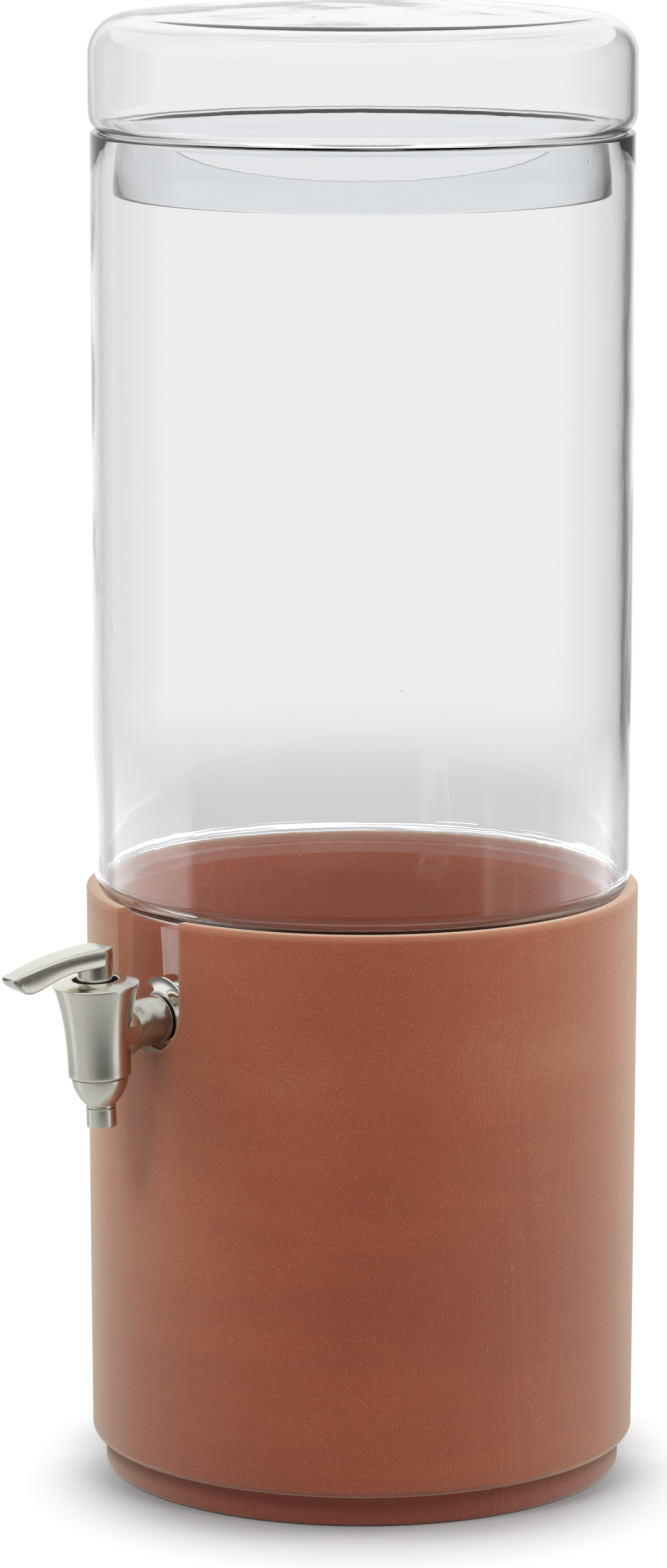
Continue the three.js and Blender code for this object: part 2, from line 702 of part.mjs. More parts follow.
// Lever: an arched arm that tapers from a round hub to a deep, chamfered tip, over a round boss
function leverGeometry() {
  const topAt = (s) => leverTop - (s - leverCrest) ** 2 / (2 * leverTopRadius);
  const back = leverBackRadius - leverHubRadius;
  const hubFoot = leverTop - leverNeckThickness;
  const topSteps = 2 * bendSteps;
  const crest = Array.from({ length: topSteps + 1 }, (_, i) => {
    const s = leverReach + ((back - leverReach) * i) / topSteps;
    return [s, topAt(s)];
  });
  const side = [
    [-leverHubRadius, hubFoot],
    ...undersideReachShares.map((share, i) => {
      const s = leverReach * share;
      return [s, topAt(s) - leverPadDepth * undersideDepthShares[i]];
    }),
    [leverReach, topAt(leverReach) - leverTipThickness],
    ...crest,
    ...arc(back, topAt(back) - leverBackRadius, leverBackRadius, 90, 180, bendSteps).slice(1),
  ];
  const tipCorner = leverTipThickness;
  const tipHalf = leverTipWidth / 2;
  const plan = [
    ...arc(0, 0, leverHubRadius, 90, 270, 2 * bendSteps),
    ...arc(leverReach - tipCorner, tipCorner - tipHalf, tipCorner, -90, 0, edgeSteps),
    ...arc(leverReach - tipCorner, tipHalf - tipCorner, tipCorner, 0, 90, edgeSteps),
  ];
  const arm = common(
    extruded(side, 2 * leverHubRadius, outwards, upwards).translate(leverHubRadius, 0, 0),
    extruded(plan, leverTop + overrun, outwards, sideways),
  );
  const boss = turned(barOutline(leverBossRadius, bossFoot, leverTop - leverNeckThickness / 2), tapSteps);
  const pocketHalf = rodRadius + pinHeight * Math.tan(leverSwing) + 2 * slideGap;
  const pocketTop = pinAxis + rodEyeRadius + slideGap;
  const pocketLow = bossFoot - overrun;
  const pocket = new THREE.BoxGeometry(2 * rodBore, 2 * pocketHalf, pocketTop - pocketLow);
  pocket.translate(0, 0, (pocketTop + pocketLow) / 2);
  return cut(join(arm, boss), pocket, crossBar(pinRadius + slideGap, 2 * leverHubRadius));
}

const outwards = new THREE.Vector3(0, -1, 0);
const upwards = new THREE.Vector3(0, 0, 1);
const sideways = new THREE.Vector3(1, 0, 0);

// An outline in the plane of two directions, made solid along the third
function extruded(outline, depth, first, second) {
  const shape = new THREE.Shape(outline.map(([a, b]) => new THREE.Vector2(a, b)));
  const third = new THREE.Vector3().crossVectors(first, second);
  const turn = new THREE.Matrix4().makeBasis(first, second, third);
  return new THREE.ExtrudeGeometry(shape, { depth, bevelEnabled: false }).applyMatrix4(turn);
}

// Inside the barrel and on it, in a frame on the barrel's axis at the height of the tube's axis
const barrel = new THREE.Group();
barrel.position.set(0, -tapReach, 0);
barrel.add(
  piece("guide_bush", bushGeometry(), bushPlastic),
  piece("stem_seal", stemSealGeometry(), blackRubber),
  piece("return_spring", springGeometry(), springSteel),
  piece("plunger_rod", rodGeometry(), brushedSteel),
  piece(
    "spring_seat",
    turned(tubeOutline(rodBore, springSeatRadius, rodCollarTop + seatGap, springSeatTop), smallSteps),
    springSteel,
  ),
  piece("valve_seal", valveSealGeometry(), whiteSilicone),
  piece("spout_bowl", bowlGeometry(), brushedSteel),
  piece("bowl_seal", bowlSealGeometry(), blackRubber),
  piece("spout_tip", tipGeometry(), brushedSteel),
  piece("lever", leverGeometry(), brushedSteel),
  piece("lever_pin", crossBar(pinRadius, 2 * (leverBossRadius - pinInset)), springSteel),
);

// The tap on the neck's wall: its frame is square to the wall where the shank goes through
const tap = new THREE.Group();
tap.position.set(0, -neckRadius, tapHeight);
tap.rotation.x = neckDraft;
tap.add(
  barrel,
  piece("tap_body", tapBodyGeometry(), brushedSteel),
  piece("collar_seal", collarSealGeometry(), blackRubber),
  piece("flange", flangeGeometry(), polishedSteel),
  piece("outer_gasket", outerGasketGeometry(), clearSilicone),
  piece("inner_gasket", innerGasketGeometry(), whiteSilicone),
  piece(
    "inner_washer",
    turnedAlongY(tubeOutline(holeRadius, innerWasherRadius, innerGasketFace + seatGap, innerWasherFace)),
    brushedSteel,
  ),
  piece("shank_nut", nutGeometry(), brushedSteel),
);

const dispenser = new THREE.Group();
dispenser.add(
  piece("terracotta_stand", standGeometry(), terracotta),
  piece("glass_vessel", vesselGeometry(), clearGlass),
  piece("glass_lid", lidGeometry(), clearGlass),
  tap,
);

export default dispenser;
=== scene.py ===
"""Looks of a lidded glass drink dispenser with a lever tap, in a terracotta stand.

Sizes are in millimetres, as in the part's source, and meshes are in metres. The tap points to -Y.
"""

import logging
import math
from dataclasses import dataclass, field
from enum import Enum
from functools import reduce
from typing import Any, Callable

import bmesh
import bpy
from mathutils import Matrix, Vector


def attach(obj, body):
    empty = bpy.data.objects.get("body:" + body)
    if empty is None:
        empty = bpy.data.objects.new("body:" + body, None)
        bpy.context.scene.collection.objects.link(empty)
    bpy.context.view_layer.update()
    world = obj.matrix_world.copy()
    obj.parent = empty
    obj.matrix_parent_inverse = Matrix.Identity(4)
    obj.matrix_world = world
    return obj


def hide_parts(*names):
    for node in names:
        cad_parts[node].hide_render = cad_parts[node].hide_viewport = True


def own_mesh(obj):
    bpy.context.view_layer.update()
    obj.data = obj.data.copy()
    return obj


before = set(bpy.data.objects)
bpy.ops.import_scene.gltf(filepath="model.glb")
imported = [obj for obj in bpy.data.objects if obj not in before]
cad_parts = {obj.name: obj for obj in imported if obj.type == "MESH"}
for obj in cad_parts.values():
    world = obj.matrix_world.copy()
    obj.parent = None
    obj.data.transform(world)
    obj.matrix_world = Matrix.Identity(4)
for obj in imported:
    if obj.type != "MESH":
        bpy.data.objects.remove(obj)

log = logging.getLogger("dispenser")

MM = 0.001
WELD = 2e-6  # metres; vertices closer than this are one
WIDE_STEPS = 224  # sides of the stand, the vessel and the lid
TAP_STEPS = 96  # sides of the tap's turned pieces
SMALL_STEPS = 40  # sides of rods, pins and small rings
SEAT_GAP = 0.3  # between two pieces that rest on each other
SLIDE_GAP = 0.3  # round a rod, a pin or a shank in its hole
OVERRUN = 1.0  # how far a cutting shape runs past what it cuts
CURVE_STEPS = 12  # pieces of a curve that isn't an arc
SECTION_STEPS = 16  # pieces round the section of a sealing ring

Outline = list[tuple[float, float]]
Piece = bpy.types.Object
Triple = tuple[float, float, float]
Color = tuple[float, float, float, float]
Ramp = tuple[tuple[float, float], ...]  # angles in degrees from the camera's direction, and levels


class Axis(Enum):
    """The axis that an outline is turned round, and the plane that it is drawn in."""

    UP = (0.0, 0.0, 1.0)
    BACK = (0.0, 1.0, 0.0)

    def place(self, point: tuple[float, float]) -> Vector:
        """Returns the point of an outline, radius and height, in metres."""
        radius, height = point
        spot = (radius, 0.0, height) if self is Axis.UP else (radius, height, 0.0)
        return Vector(spot) * MM


class Body(Enum):
    """The bodies of the part that a piece can ride on."""

    STAND = "stand"
    VESSEL = "vessel"
    LID = "lid"
    PLUNGER = "plunger"
    LEVER = "lever"


# Drawing helpers


def other_leg(longest: float, leg: float) -> float:
    """Returns the second short side of a right triangle."""
    return math.sqrt(longest * longest - leg * leg)


def bearing(start: tuple[float, float], end: tuple[float, float]) -> float:
    """Returns the angle in degrees of the line from start to end."""
    return math.degrees(math.atan2(end[1] - start[1], end[0] - start[0]))


def arc(
    centre: tuple[float, float], radius: float, start: float, end: float, steps: int = 8
) -> Outline:
    """Draws an arc.

    Args:
        centre: middle of the arc.
        radius: its radius.
        start: first angle in degrees.
        end: last angle in degrees.
        steps: number of pieces of the arc.

    Returns:
        The points of the arc.
    """
    angles = [math.radians(start + (end - start) * i / steps) for i in range(steps + 1)]
    return [(centre[0] + radius * math.cos(a), centre[1] + radius * math.sin(a)) for a in angles]


def ruled(points: Outline, longest: float) -> Outline:
    """Adds points to the long straight runs of an outline.

    Args:
        points: the outline.
        longest: the longest run that stays as it is.

    Returns:
        The outline with the added points.
    """
    filled = [points[0]]
    for before, after in zip(points, points[1:]):
        count = max(1, math.ceil(math.dist(before, after) / longest))
        for i in range(1, count + 1):
            x, y = (a + (b - a) * i / count for a, b in zip(before, after))
            filled.append((x, y))
    return filled


def flat_ring(bore: float, radius: float, low: float, high: float, edge: float) -> Outline:
    """Draws the section of a flat ring.

    Args:
        bore: its inner radius.
        radius: its outer radius.
        low: height of its underside.
        high: height of its top.
        edge: width of the chamfers round its outside.

    Returns:
        The outline.
    """
    return [
        (bore, low),
        (radius - edge, low),
        (radius, low + edge),
        (radius, high - edge),
        (radius - edge, high),
        (bore, high),
    ]


def deselect() -> None:
    """Leaves edit mode and selects nothing."""
    if bpy.context.object and bpy.context.object.mode != "OBJECT":
        bpy.ops.object.mode_set(mode="OBJECT")
    bpy.ops.object.select_all(action="DESELECT")


def activate(piece: Piece) -> None:
    """Selects one piece alone and makes it the active one."""
    deselect()
    piece.select_set(True)
    bpy.context.view_layer.objects.active = piece


def named(piece: Piece, name: str) -> Piece:
    """Names a piece and its mesh alike, and returns it."""
    piece.name = piece.data.name = name
    return piece


def apply_place(piece: Piece) -> Piece:
    """Puts a piece's place into its mesh, so that its object sits at the origin, and returns it."""
    activate(piece)
    bpy.ops.object.transform_apply(location=True, rotation=True, scale=True)
    return piece


def put(piece: Piece, place: Matrix) -> Piece:
    """Moves a piece by a matrix for good, and returns it."""
    piece.matrix_world = place @ piece.matrix_world
    return apply_place(piece)


def turned(name: str, outline: Outline, axis: Axis = Axis.UP, steps: int = TAP_STEPS) -> Piece:
    """Draws an outline vertex by vertex and spins it into a closed body.

    Args:
        name: name of the piece.
        outline: radius and height of each point. It is closed unless it starts on the axis.
        axis: the axis that it is spun round.
        steps: number of sides.

    Returns:
        The piece.
    """
    points = outline if outline[0][0] == 0 else [*outline, outline[0]]
    places = [axis.place(point) for point in points]
    deselect()
    bpy.ops.mesh.primitive_plane_add(size=MM, location=places[0])
    piece = apply_place(named(bpy.context.object, name))
    bpy.ops.object.mode_set(mode="EDIT")
    bpy.ops.mesh.select_all(action="SELECT")
    bpy.ops.mesh.merge(type="CENTER")
    for before, after in zip(places, places[1:]):
        bpy.ops.mesh.extrude_vertices_move(TRANSFORM_OT_translate={"value": after - before})
    bpy.ops.mesh.select_all(action="SELECT")
    bpy.ops.mesh.remove_doubles(threshold=WELD)
    bpy.ops.mesh.spin(steps=steps, angle=math.tau, center=(0, 0, 0), axis=axis.value)
    bpy.ops.mesh.select_all(action="SELECT")
    bpy.ops.mesh.remove_doubles(threshold=WELD)
    bpy.ops.mesh.normals_make_consistent(inside=False)
    bpy.ops.object.mode_set(mode="OBJECT")
    return piece


def bar(name: str, radius: float, low: float, high: float, axis: Axis = Axis.UP) -> Piece:
    """Returns a plain round bar from one height to another, as a cutting shape."""
    return turned(name, [(0, low), (radius, low), (radius, high), (0, high)], axis)


def cross_bar(name: str, radius: float, length: float, height: float, edge: float = 0.0) -> Piece:
    """Makes a round bar along X.

    Args:
        name: name of the piece.
        radius: its radius.
        length: its length, half to each side.
        height: height of its axis.
        edge: width of the rounding at its ends, or 0.

    Returns:
        The piece.
    """
    deselect()
    bpy.ops.mesh.primitive_cylinder_add(
        vertices=SMALL_STEPS,
        radius=radius * MM,
        depth=length * MM,
        location=(0, 0, height * MM),
        rotation=(0, math.pi / 2, 0),
    )
    piece = apply_place(named(bpy.context.object, name))
    if edge:
        bevel(piece, edge, 3, 60)
    return piece


def sealing_ring(
    name: str, centre: tuple[float, float], section: float, steps: int = TAP_STEPS
) -> Piece:
    """Makes a ring of round section.

    Args:
        name: name of the piece.
        centre: radius and height of the section's middle.
        section: radius of the section.
        steps: number of sides.

    Returns:
        The piece.
    """
    outline = arc(centre, section, 0, 360, SECTION_STEPS)[:-1]
    return smooth(turned(name, outline, steps=steps), 60)


def box(name: str, size: Triple, middle: Triple) -> Piece:
    """Makes a box, as a cutting shape.

    Args:
        name: name of the piece.
        size: its lengths along X, Y and Z.
        middle: place of its middle.

    Returns:
        The piece.
    """
    deselect()
    bpy.ops.mesh.primitive_cube_add(size=MM, location=Vector(middle) * MM, scale=size)
    return apply_place(named(bpy.context.object, name))


def combine(piece: Piece, other: Piece, how: str) -> Piece:
    """Joins, cuts or intersects a piece with another, which is used up.

    Args:
        piece: the piece that stays.
        other: the piece that is used up.
        how: UNION, DIFFERENCE or INTERSECT.

    Returns:
        The piece.
    """
    modifier = piece.modifiers.new("combine", "BOOLEAN")
    modifier.operation = how
    modifier.object = other
    modifier.solver = "EXACT"
    activate(piece)
    bpy.ops.object.modifier_apply(modifier=modifier.name)
    bpy.data.objects.remove(other)
    return piece


def bevel(piece: Piece, width: float, segments: int, angle: float) -> Piece:
    """Rounds the sharp edges of a piece.

    Args:
        piece: the piece.
        width: width of the rounding.
        segments: number of steps across it.
        angle: least angle in degrees of an edge that is rounded.

    Returns:
        The piece.
    """
    modifier = piece.modifiers.new("round", "BEVEL")
    modifier.width = width * MM
    modifier.segments = segments
    modifier.limit_method = "ANGLE"
    modifier.angle_limit = math.radians(angle)
    modifier.miter_outer = "MITER_ARC"
    activate(piece)
    bpy.ops.object.modifier_apply(modifier=modifier.name)
    return piece


def smooth(piece: Piece, angle: float) -> Piece:
    """Shades a piece smooth but for its sharp edges.

    Args:
        piece: the piece.
        angle: angle in degrees past which an edge is sharp.

    Returns:
        The piece.
    """
    activate(piece)
    bpy.ops.object.shade_smooth_by_angle(angle=math.radians(angle))
    return piece


def select_where(piece: Piece, wanted: Callable[[Vector], bool]) -> None:
    """Selects, in edit mode, the vertices whose place passes a test.

    Args:
        piece: the piece.
        wanted: the test.
    """
    mesh = bmesh.from_edit_mesh(piece.data)
    for vertex in mesh.verts:
        vertex.select = wanted(vertex.co)
    mesh.select_flush(True)
    mesh.select_flush(False)
    bmesh.update_edit_mesh(piece.data)


# Finishes


class Nodes:
    """A short way to add shader nodes and join them."""

    def __init__(self, tree: bpy.types.NodeTree) -> None:
        """Keeps the tree that nodes are added to."""
        self.tree = tree

    def add(self, kind: str, settings: dict[str, Any] | None = None, **inputs: Any) -> Any:
        """Adds a node.

        Args:
            kind: the node's type, without ShaderNode before it.
            settings: the node's own properties.
            inputs: values or outputs by input name, with _ for a space, or iN for input N.

        Returns:
            The node.
        """
        node = self.tree.nodes.new("ShaderNode" + kind)
        for key, value in (settings or {}).items():
            setattr(node, key, value)
        return self.fill(node, **inputs)

    def fill(self, node: Any, **inputs: Any) -> Any:
        """Sets or joins a node's inputs.

        Args:
            node: the node.
            inputs: values or outputs by input name, with _ for a space, or iN for input N.

        Returns:
            The node.
        """
        for key, value in inputs.items():
            numbered = key[0] == "i" and key[1:].isdigit()
            socket = node.inputs[int(key[1:]) if numbered else key.replace("_", " ")]
            if isinstance(value, bpy.types.NodeSocket):
                self.tree.links.new(value, socket)
            else:
                socket.default_value = value
        return node

    def math(self, operation: str, *values: Any, clamp: bool = False) -> Any:
        """Returns the output of a Math node on values or outputs."""
        inputs = {f"i{i}": value for i, value in enumerate(values)}
        return self.add("Math", {"operation": operation, "use_clamp": clamp}, **inputs).outputs[0]

    def times(self, *values: Any) -> Any:
        """Returns the product of values or outputs."""
        return reduce(lambda product, value: self.math("MULTIPLY", product, value), values)

    def plus(self, *values: Any) -> Any:
        """Returns the sum of values or outputs."""
        return reduce(lambda total, value: self.math("ADD", total, value), values)

    def scaled(self, vector: Any, by: Triple) -> Any:
        """Returns a vector output times three numbers."""
        return self.add("VectorMath", {"operation": "MULTIPLY"}, i0=vector, i1=by).outputs[0]

    def noise(self, vector: Any, scale: Any, detail: float = 2.0, roughness: float = 0.5) -> Any:
        """Returns the value of a Noise texture."""
        inputs = {"Vector": vector, "Scale": scale, "Detail": detail, "Roughness": roughness}
        return self.add("TexNoise", **inputs).outputs[0]

    def span(self, value: Any, low: Any, high: Any, to_low: Any = 0.0, to_high: Any = 1.0) -> Any:
        """Maps a value from one range to another, held at its ends.

        Args:
            value: the value or output.
            low: start of its range.
            high: end of its range.
            to_low: what the start becomes.
            to_high: what the end becomes.

        Returns:
            The output.
        """
        settings = {"clamp": True, "interpolation_type": "SMOOTHSTEP"}
        ends = {"i1": low, "i2": high, "i3": to_low, "i4": to_high}
        return self.add("MapRange", settings, i0=value, **ends).outputs[0]

    def blend(self, share: Any, first: Any, second: Any) -> Any:
        """Returns a mix of two colours."""
        return self.add("Mix", {"data_type": "RGBA"}, i0=share, i6=first, i7=second).outputs[2]

    def seen(self) -> Any:
        """Returns a mask of the rays that show a thing, and don't only light it."""
        path = self.add("LightPath").outputs
        seen = self.math("MAXIMUM", path["Is Camera Ray"], path["Is Glossy Ray"])
        return self.math("MAXIMUM", seen, path["Is Transmission Ray"])

    def group(self, tree: bpy.types.NodeTree, **inputs: Any) -> Any:
        """Adds a node group with its inputs, and returns its node."""
        return self.add("Group", {"node_tree": tree}, **inputs)


def new_group(name: str, inputs: dict[str, Any], outputs: list[str]) -> tuple[Any, Any, Any]:
    """Starts a shader node group.

    Args:
        name: its name.
        inputs: each input's default: a number, or None for a vector.
        outputs: names of its number outputs.

    Returns:
        The group, its input node and its output node.
    """
    tree = bpy.data.node_groups.new(name, "ShaderNodeTree")
    for key, value in inputs.items():
        kind = "NodeSocketVector" if value is None else "NodeSocketFloat"
        socket = tree.interface.new_socket(name=key, in_out="INPUT", socket_type=kind)
        if value is not None:
            socket.default_value = value
    for key in outputs:
        tree.interface.new_socket(name=key, in_out="OUTPUT", socket_type="NodeSocketFloat")
    return tree, tree.nodes.new("NodeGroupInput"), tree.nodes.new("NodeGroupOutput")


def make_grain_group() -> bpy.types.NodeTree:
    """Returns the group for the fine grain of fired clay, rubber and plastic."""
    tree, start, end = new_group(
        "fine_grain", {"Vector": None, "Fineness": 900.0, "Blotch": 30.0}, ["Height", "Tone"]
    )
    n = Nodes(tree)
    place = start.outputs["Vector"]
    fine = n.noise(place, start.outputs["Fineness"], 4.0, 0.65)
    n.fill(end, Height=fine, Tone=n.noise(place, start.outputs["Blotch"], 3.0))
    return tree


def make_brushing_group() -> bpy.types.NodeTree:
    """Returns the group for the fine lines that brushing and turning leave on steel."""
    tree, start, end = new_group(
        "brushing", {"Vector": None, "Fineness": 1.0, "Smudge": 45.0}, ["Lines", "Smudges"]
    )
    n = Nodes(tree)
    lines = n.noise(start.outputs["Vector"], start.outputs["Fineness"], 5.0, 0.7)
    smudges = n.noise(n.add("TexCoord").outputs["Object"], start.outputs["Smudge"], 3.0)
    n.fill(end, Lines=lines, Smudges=smudges)
    return tree


GRAIN = make_grain_group()
BRUSHING = make_brushing_group()


def started(name: str) -> tuple[bpy.types.Material, Nodes, Any, Any]:
    """Starts a material with nodes.

    Args:
        name: its name.

    Returns:
        The material, its nodes, its Principled node and its output node.
    """
    material = bpy.data.materials.new(name)
    material.use_nodes = True
    tree = material.node_tree
    return material, Nodes(tree), tree.nodes["Principled BSDF"], tree.nodes["Material Output"]


def grey(level: float) -> Color:
    """Returns a grey."""
    return level, level, level, 1


def darker(color: Color, share: float) -> Color:
    """Returns a colour with its red, green and blue at a share of what they were."""
    red, green, blue, alpha = color
    return red * share, green * share, blue * share, alpha


@dataclass(frozen=True)
class Terracotta:
    """Unglazed fired clay: matt, finely grained, with pale specks and worn pale edges.

    Its lengths are in metres, because a pattern reads an object's own coordinates.
    """

    stand: "Stand"
    slot: str = "terracotta"
    deep: Color = (0.235, 0.029, 0.001, 1)
    mid: Color = (0.3, 0.053, 0.004, 1)
    pale: Color = (0.42, 0.19, 0.1, 1)
    speck: Color = (0.66, 0.42, 0.27, 1)
    # painted shade: the foot, under the overhanging wall, is painted darker
    foot_shade: Color = (0.15, 0.012, 0.0, 1)
    foot_shade_fade: tuple[float, float] = (0.008, 0.016)  # where the painted shade fades
    inside: Triple = (1.4, 1.15, 1.0)  # painted light: the inside is painted this much lighter
    # painted shade: the clay is painted darker towards the foot and paler towards the rim
    height_tone: tuple[float, float] = (0.03, 0.45)  # tone at the foot and at the rim
    grain_fineness: float = 1500.0
    blotch_scale: float = 14.0
    speck_scale: float = 1900.0
    speck_strength: float = 0.6
    wear_strength: float = 0.6
    notch_wear: float = 0.0016  # how far wear reaches from the notch's edge
    rim_wear: tuple[float, float] = (0.0035, 0.0006)  # depths where wear starts and is full
    inside_fade: float = 0.0012
    band_squeeze: Triple = (5.0, 5.0, 48.0)  # broad rings of a darker and a lighter clay
    ring_squeeze: Triple = (4.0, 4.0, 330.0)  # fine rings left by throwing
    relief: float = 0.0006
    matt: tuple[float, float] = (0.62, 0.78)

    def edge_wear(self, n: Nodes, x: Any, z: Any) -> Any:
        """Finds the rim's and the notch's worn edges.

        Args:
            n: the material's nodes.
            x: the object's X.
            z: the object's Z.

        Returns:
            A mask.
        """
        stand = self.stand
        start, full = self.rim_wear
        top = stand.height * MM
        radius = stand.notch_width / 2 * MM
        centre = top - stand.notch_depth * MM + radius
        below = n.math("MINIMUM", n.math("SUBTRACT", z, centre), 0.0)
        across = n.math("SQRT", n.plus(n.times(x, x), n.times(below, below)))
        off = n.math("ABSOLUTE", n.math("SUBTRACT", across, radius))
        notch = n.span(off, 0.0, self.notch_wear, 1.0, 0.0)
        rim = n.span(z, top - start, top - full)
        return n.math("MAXIMUM", n.times(notch, 0.6), rim)

    def color(self, n: Nodes, place: Any, grain: Any, specks: Any) -> Any:
        """Mixes the clay's colour.

        Args:
            n: the material's nodes.
            place: the object's coordinates.
            grain: the grain group's node.
            specks: mask of the pale specks.

        Returns:
            The colour.
        """
        split = n.add("SeparateXYZ", Vector=place)
        x, z = split.outputs[0], split.outputs[2]
        # painted shade: darker towards the foot, paler towards the rim
        shade_by_height = n.span(z, 0.0, self.stand.height * MM, *self.height_tone)
        bands = n.noise(n.scaled(place, self.band_squeeze), 1.0, 3.0, 0.6)
        tone = n.plus(
            n.span(grain.outputs["Tone"], 0.35, 0.68, 0.0, 0.25),
            shade_by_height,
            n.span(bands, 0.36, 0.64, -0.12, 0.12),
        )
        base = n.blend(n.span(tone, 0.0, 0.55), self.deep, self.mid)
        base = n.blend(n.span(tone, 0.5, 1.1, 0.0, 0.6), base, self.pale)
        base = n.blend(n.span(grain.outputs["Height"], 0.38, 0.62, 0.0, 0.7), base, self.deep)
        flat = n.scaled(place, (1.0, 1.0, 0.0))
        across = n.add("VectorMath", {"operation": "LENGTH"}, i0=flat).outputs["Value"]
        bore = self.stand.inner_radius * MM
        # painted light: the clay inside the wall is painted lighter, for light that hardly reaches
        # in
        inside_light = n.span(across, bore, bore + self.inside_fade, 1.0, 0.0)
        base = n.blend(inside_light, base, n.scaled(base, self.inside))
        # painted shade: darker at the foot
        base = n.blend(n.span(z, *self.foot_shade_fade, 0.7, 0.0), base, self.foot_shade)
        base = n.blend(n.times(self.edge_wear(n, x, z), self.wear_strength), base, self.pale)
        return n.blend(n.times(specks, self.speck_strength), base, self.speck)

    def material(self) -> bpy.types.Material:
        """Returns the material."""
        material, n, shader, _ = started(self.slot)
        place = n.add("TexCoord").outputs["Object"]
        grain = n.group(
            GRAIN, Vector=place, Fineness=self.grain_fineness, Blotch=self.blotch_scale
        )
        cells = n.add("TexVoronoi", {"feature": "F1"}, Vector=place, Scale=self.speck_scale)
        chance = n.add("SeparateColor", Color=cells.outputs["Color"]).outputs[0]
        dot = n.span(cells.outputs["Distance"], 0.14, 0.34, 1.0, 0.0)
        specks = n.times(dot, n.span(chance, 0.68, 0.94))
        rings = n.noise(n.scaled(place, self.ring_squeeze), 1.0, 2.0)
        height = n.plus(n.times(rings, 0.35), n.times(grain.outputs["Height"], 0.75))
        height = n.math("SUBTRACT", height, n.times(specks, 0.15))
        bump = n.add("Bump", Strength=0.35, Distance=self.relief, Height=height)
        n.fill(
            shader,
            Base_Color=self.color(n, place, grain, specks),
            Normal=bump.outputs[0],
            Roughness=n.span(grain.outputs["Height"], 0.3, 0.7, *self.matt),
            Specular_IOR_Level=0.6,
            Sheen_Weight=0.78,
            Sheen_Roughness=0.5,
            Sheen_Tint=(1.0, 1.0, 0.82, 1),
        )
        return material


@dataclass(frozen=True)
class ClearGlass:
    """Clear glass with a faint grey tint, slight waves, and a few seeds left by the blowing."""

    slot: str = "clear_glass"
    tint: Color = (0.925, 0.932, 0.94, 1)
    curve_shade_tint: Color = (0.74, 0.745, 0.75, 1)  # painted shade on the shoulder's curve
    wave: float = 0.06
    mark: float = 0.035  # depth of the marks that shaping left at the shoulder and neck
    seed: float = 0.05
    marked: tuple[float, float] = (0.17, 0.285)  # heights in metres between which marks fade
    stretch: Triple = (1.0, 1.0, 0.6)  # marks and seeds are drawn out upwards
    relief: float = 0.008
    # heights in metres where rubbing starts, is full, wanes and ends
    scuffed: tuple[float, float, float, float] = (0.2352, 0.2362, 0.2398, 0.2425)
    curve_reach: float = 0.004  # how far below the rubbing the painted shade starts
    scuff_squeeze: Triple = (9.0, 9.0, 900.0)
    scuff_roughness: float = 0.38

    def surface(self, n: Nodes, place: Any, level: Any) -> Any:
        """Makes the waves, the marks and the seeds.

        Args:
            n: the material's nodes.
            place: the object's coordinates.
            level: the object's Z.

        Returns:
            The normal.
        """
        drawn = n.scaled(place, self.stretch)
        cells = n.add("TexVoronoi", {"feature": "F1"}, Vector=drawn, Scale=38.0)
        chance = n.add("SeparateColor", Color=cells.outputs["Color"]).outputs[1]
        dot = n.span(cells.outputs["Distance"], 0.0, 0.035, 1.0, 0.0)
        seeds = n.times(dot, n.span(chance, 0.8, 0.82), self.seed)
        waves = n.times(n.noise(place, 16.0, 1.0, 0.4), self.wave)
        low = n.span(level, *self.marked, 1.0, 0.12)
        marks = n.times(n.noise(drawn, 75.0, 2.0), low, self.mark)
        height = n.plus(waves, seeds, marks)
        bump = n.add("Bump", Strength=1.0, Distance=self.relief, Height=height)
        return bump.outputs[0]

    def material(self) -> bpy.types.Material:
        """Returns the material, which lets the lamps' light through as a plain tint."""
        material, n, shader, end = started(self.slot)
        place = n.add("TexCoord").outputs["Object"]
        level = n.add("SeparateXYZ", Vector=place).outputs[2]
        near, full, wane, past = self.scuffed
        fading = n.span(level, wane, past, 1.0, 0.0)
        # painted shade: the glass is tinted darker on the shoulder's curve, below the scuffed band
        curve = n.times(n.span(level, near - self.curve_reach, near), fading)
        zone = n.times(n.span(level, near, full), fading)
        lines = n.span(n.noise(n.scaled(place, self.scuff_squeeze), 1.0, 2.0), 0.5, 0.6)
        n.fill(
            shader,
            Base_Color=n.blend(curve, self.tint, self.curve_shade_tint),
            Roughness=n.times(zone, lines, self.scuff_roughness),
            Normal=self.surface(n, place, level),
            IOR=1.48,
            Transmission_Weight=1.0,
        )
        clear = n.add("BsdfTransparent", Color=(0.97, 0.975, 0.98, 1))
        lamps = n.add("LightPath").outputs["Is Shadow Ray"]
        both = n.add("MixShader", i0=lamps, i1=shader.outputs[0], i2=clear.outputs[0])
        n.fill(end, Surface=both.outputs[0])
        return material


class Brush(Enum):
    """The direction that steel was brushed in, as the fineness of its lines along X, Y and Z."""

    ROUND = (60.0, 60.0, 5200.0)
    ALONG_Y = (4200.0, 60.0, 4200.0)
    TUBE = (60.0, 5200.0, 60.0)


@dataclass(frozen=True)
class Steel:
    """Stainless steel, brushed, turned or polished."""

    slot: str
    name: str
    color: Color
    rough: tuple[float, float]
    brush: Brush = Brush.ROUND
    depth: float = 0.1
    shade: float = 0.94  # how dark the lines are
    relief: float = 0.00002

    def material(self) -> bpy.types.Material:
        """Returns the material."""
        material, n, shader, _ = started(self.name)
        place = n.add("TexCoord").outputs["Object"]
        lines = n.group(BRUSHING, Vector=n.scaled(place, self.brush.value), Fineness=1.0)
        mark, smudge = lines.outputs["Lines"], lines.outputs["Smudges"]
        mixed = n.plus(n.times(mark, 0.5), n.times(smudge, 0.5))
        bump = n.add("Bump", Strength=self.depth, Distance=self.relief, Height=mark)
        n.fill(
            shader,
            Base_Color=n.blend(n.span(mark, 0.3, 0.7), darker(self.color, self.shade), self.color),
            Roughness=n.span(mixed, 0.35, 0.65, *self.rough),
            Normal=bump.outputs[0],
            Metallic=1.0,
        )
        return material


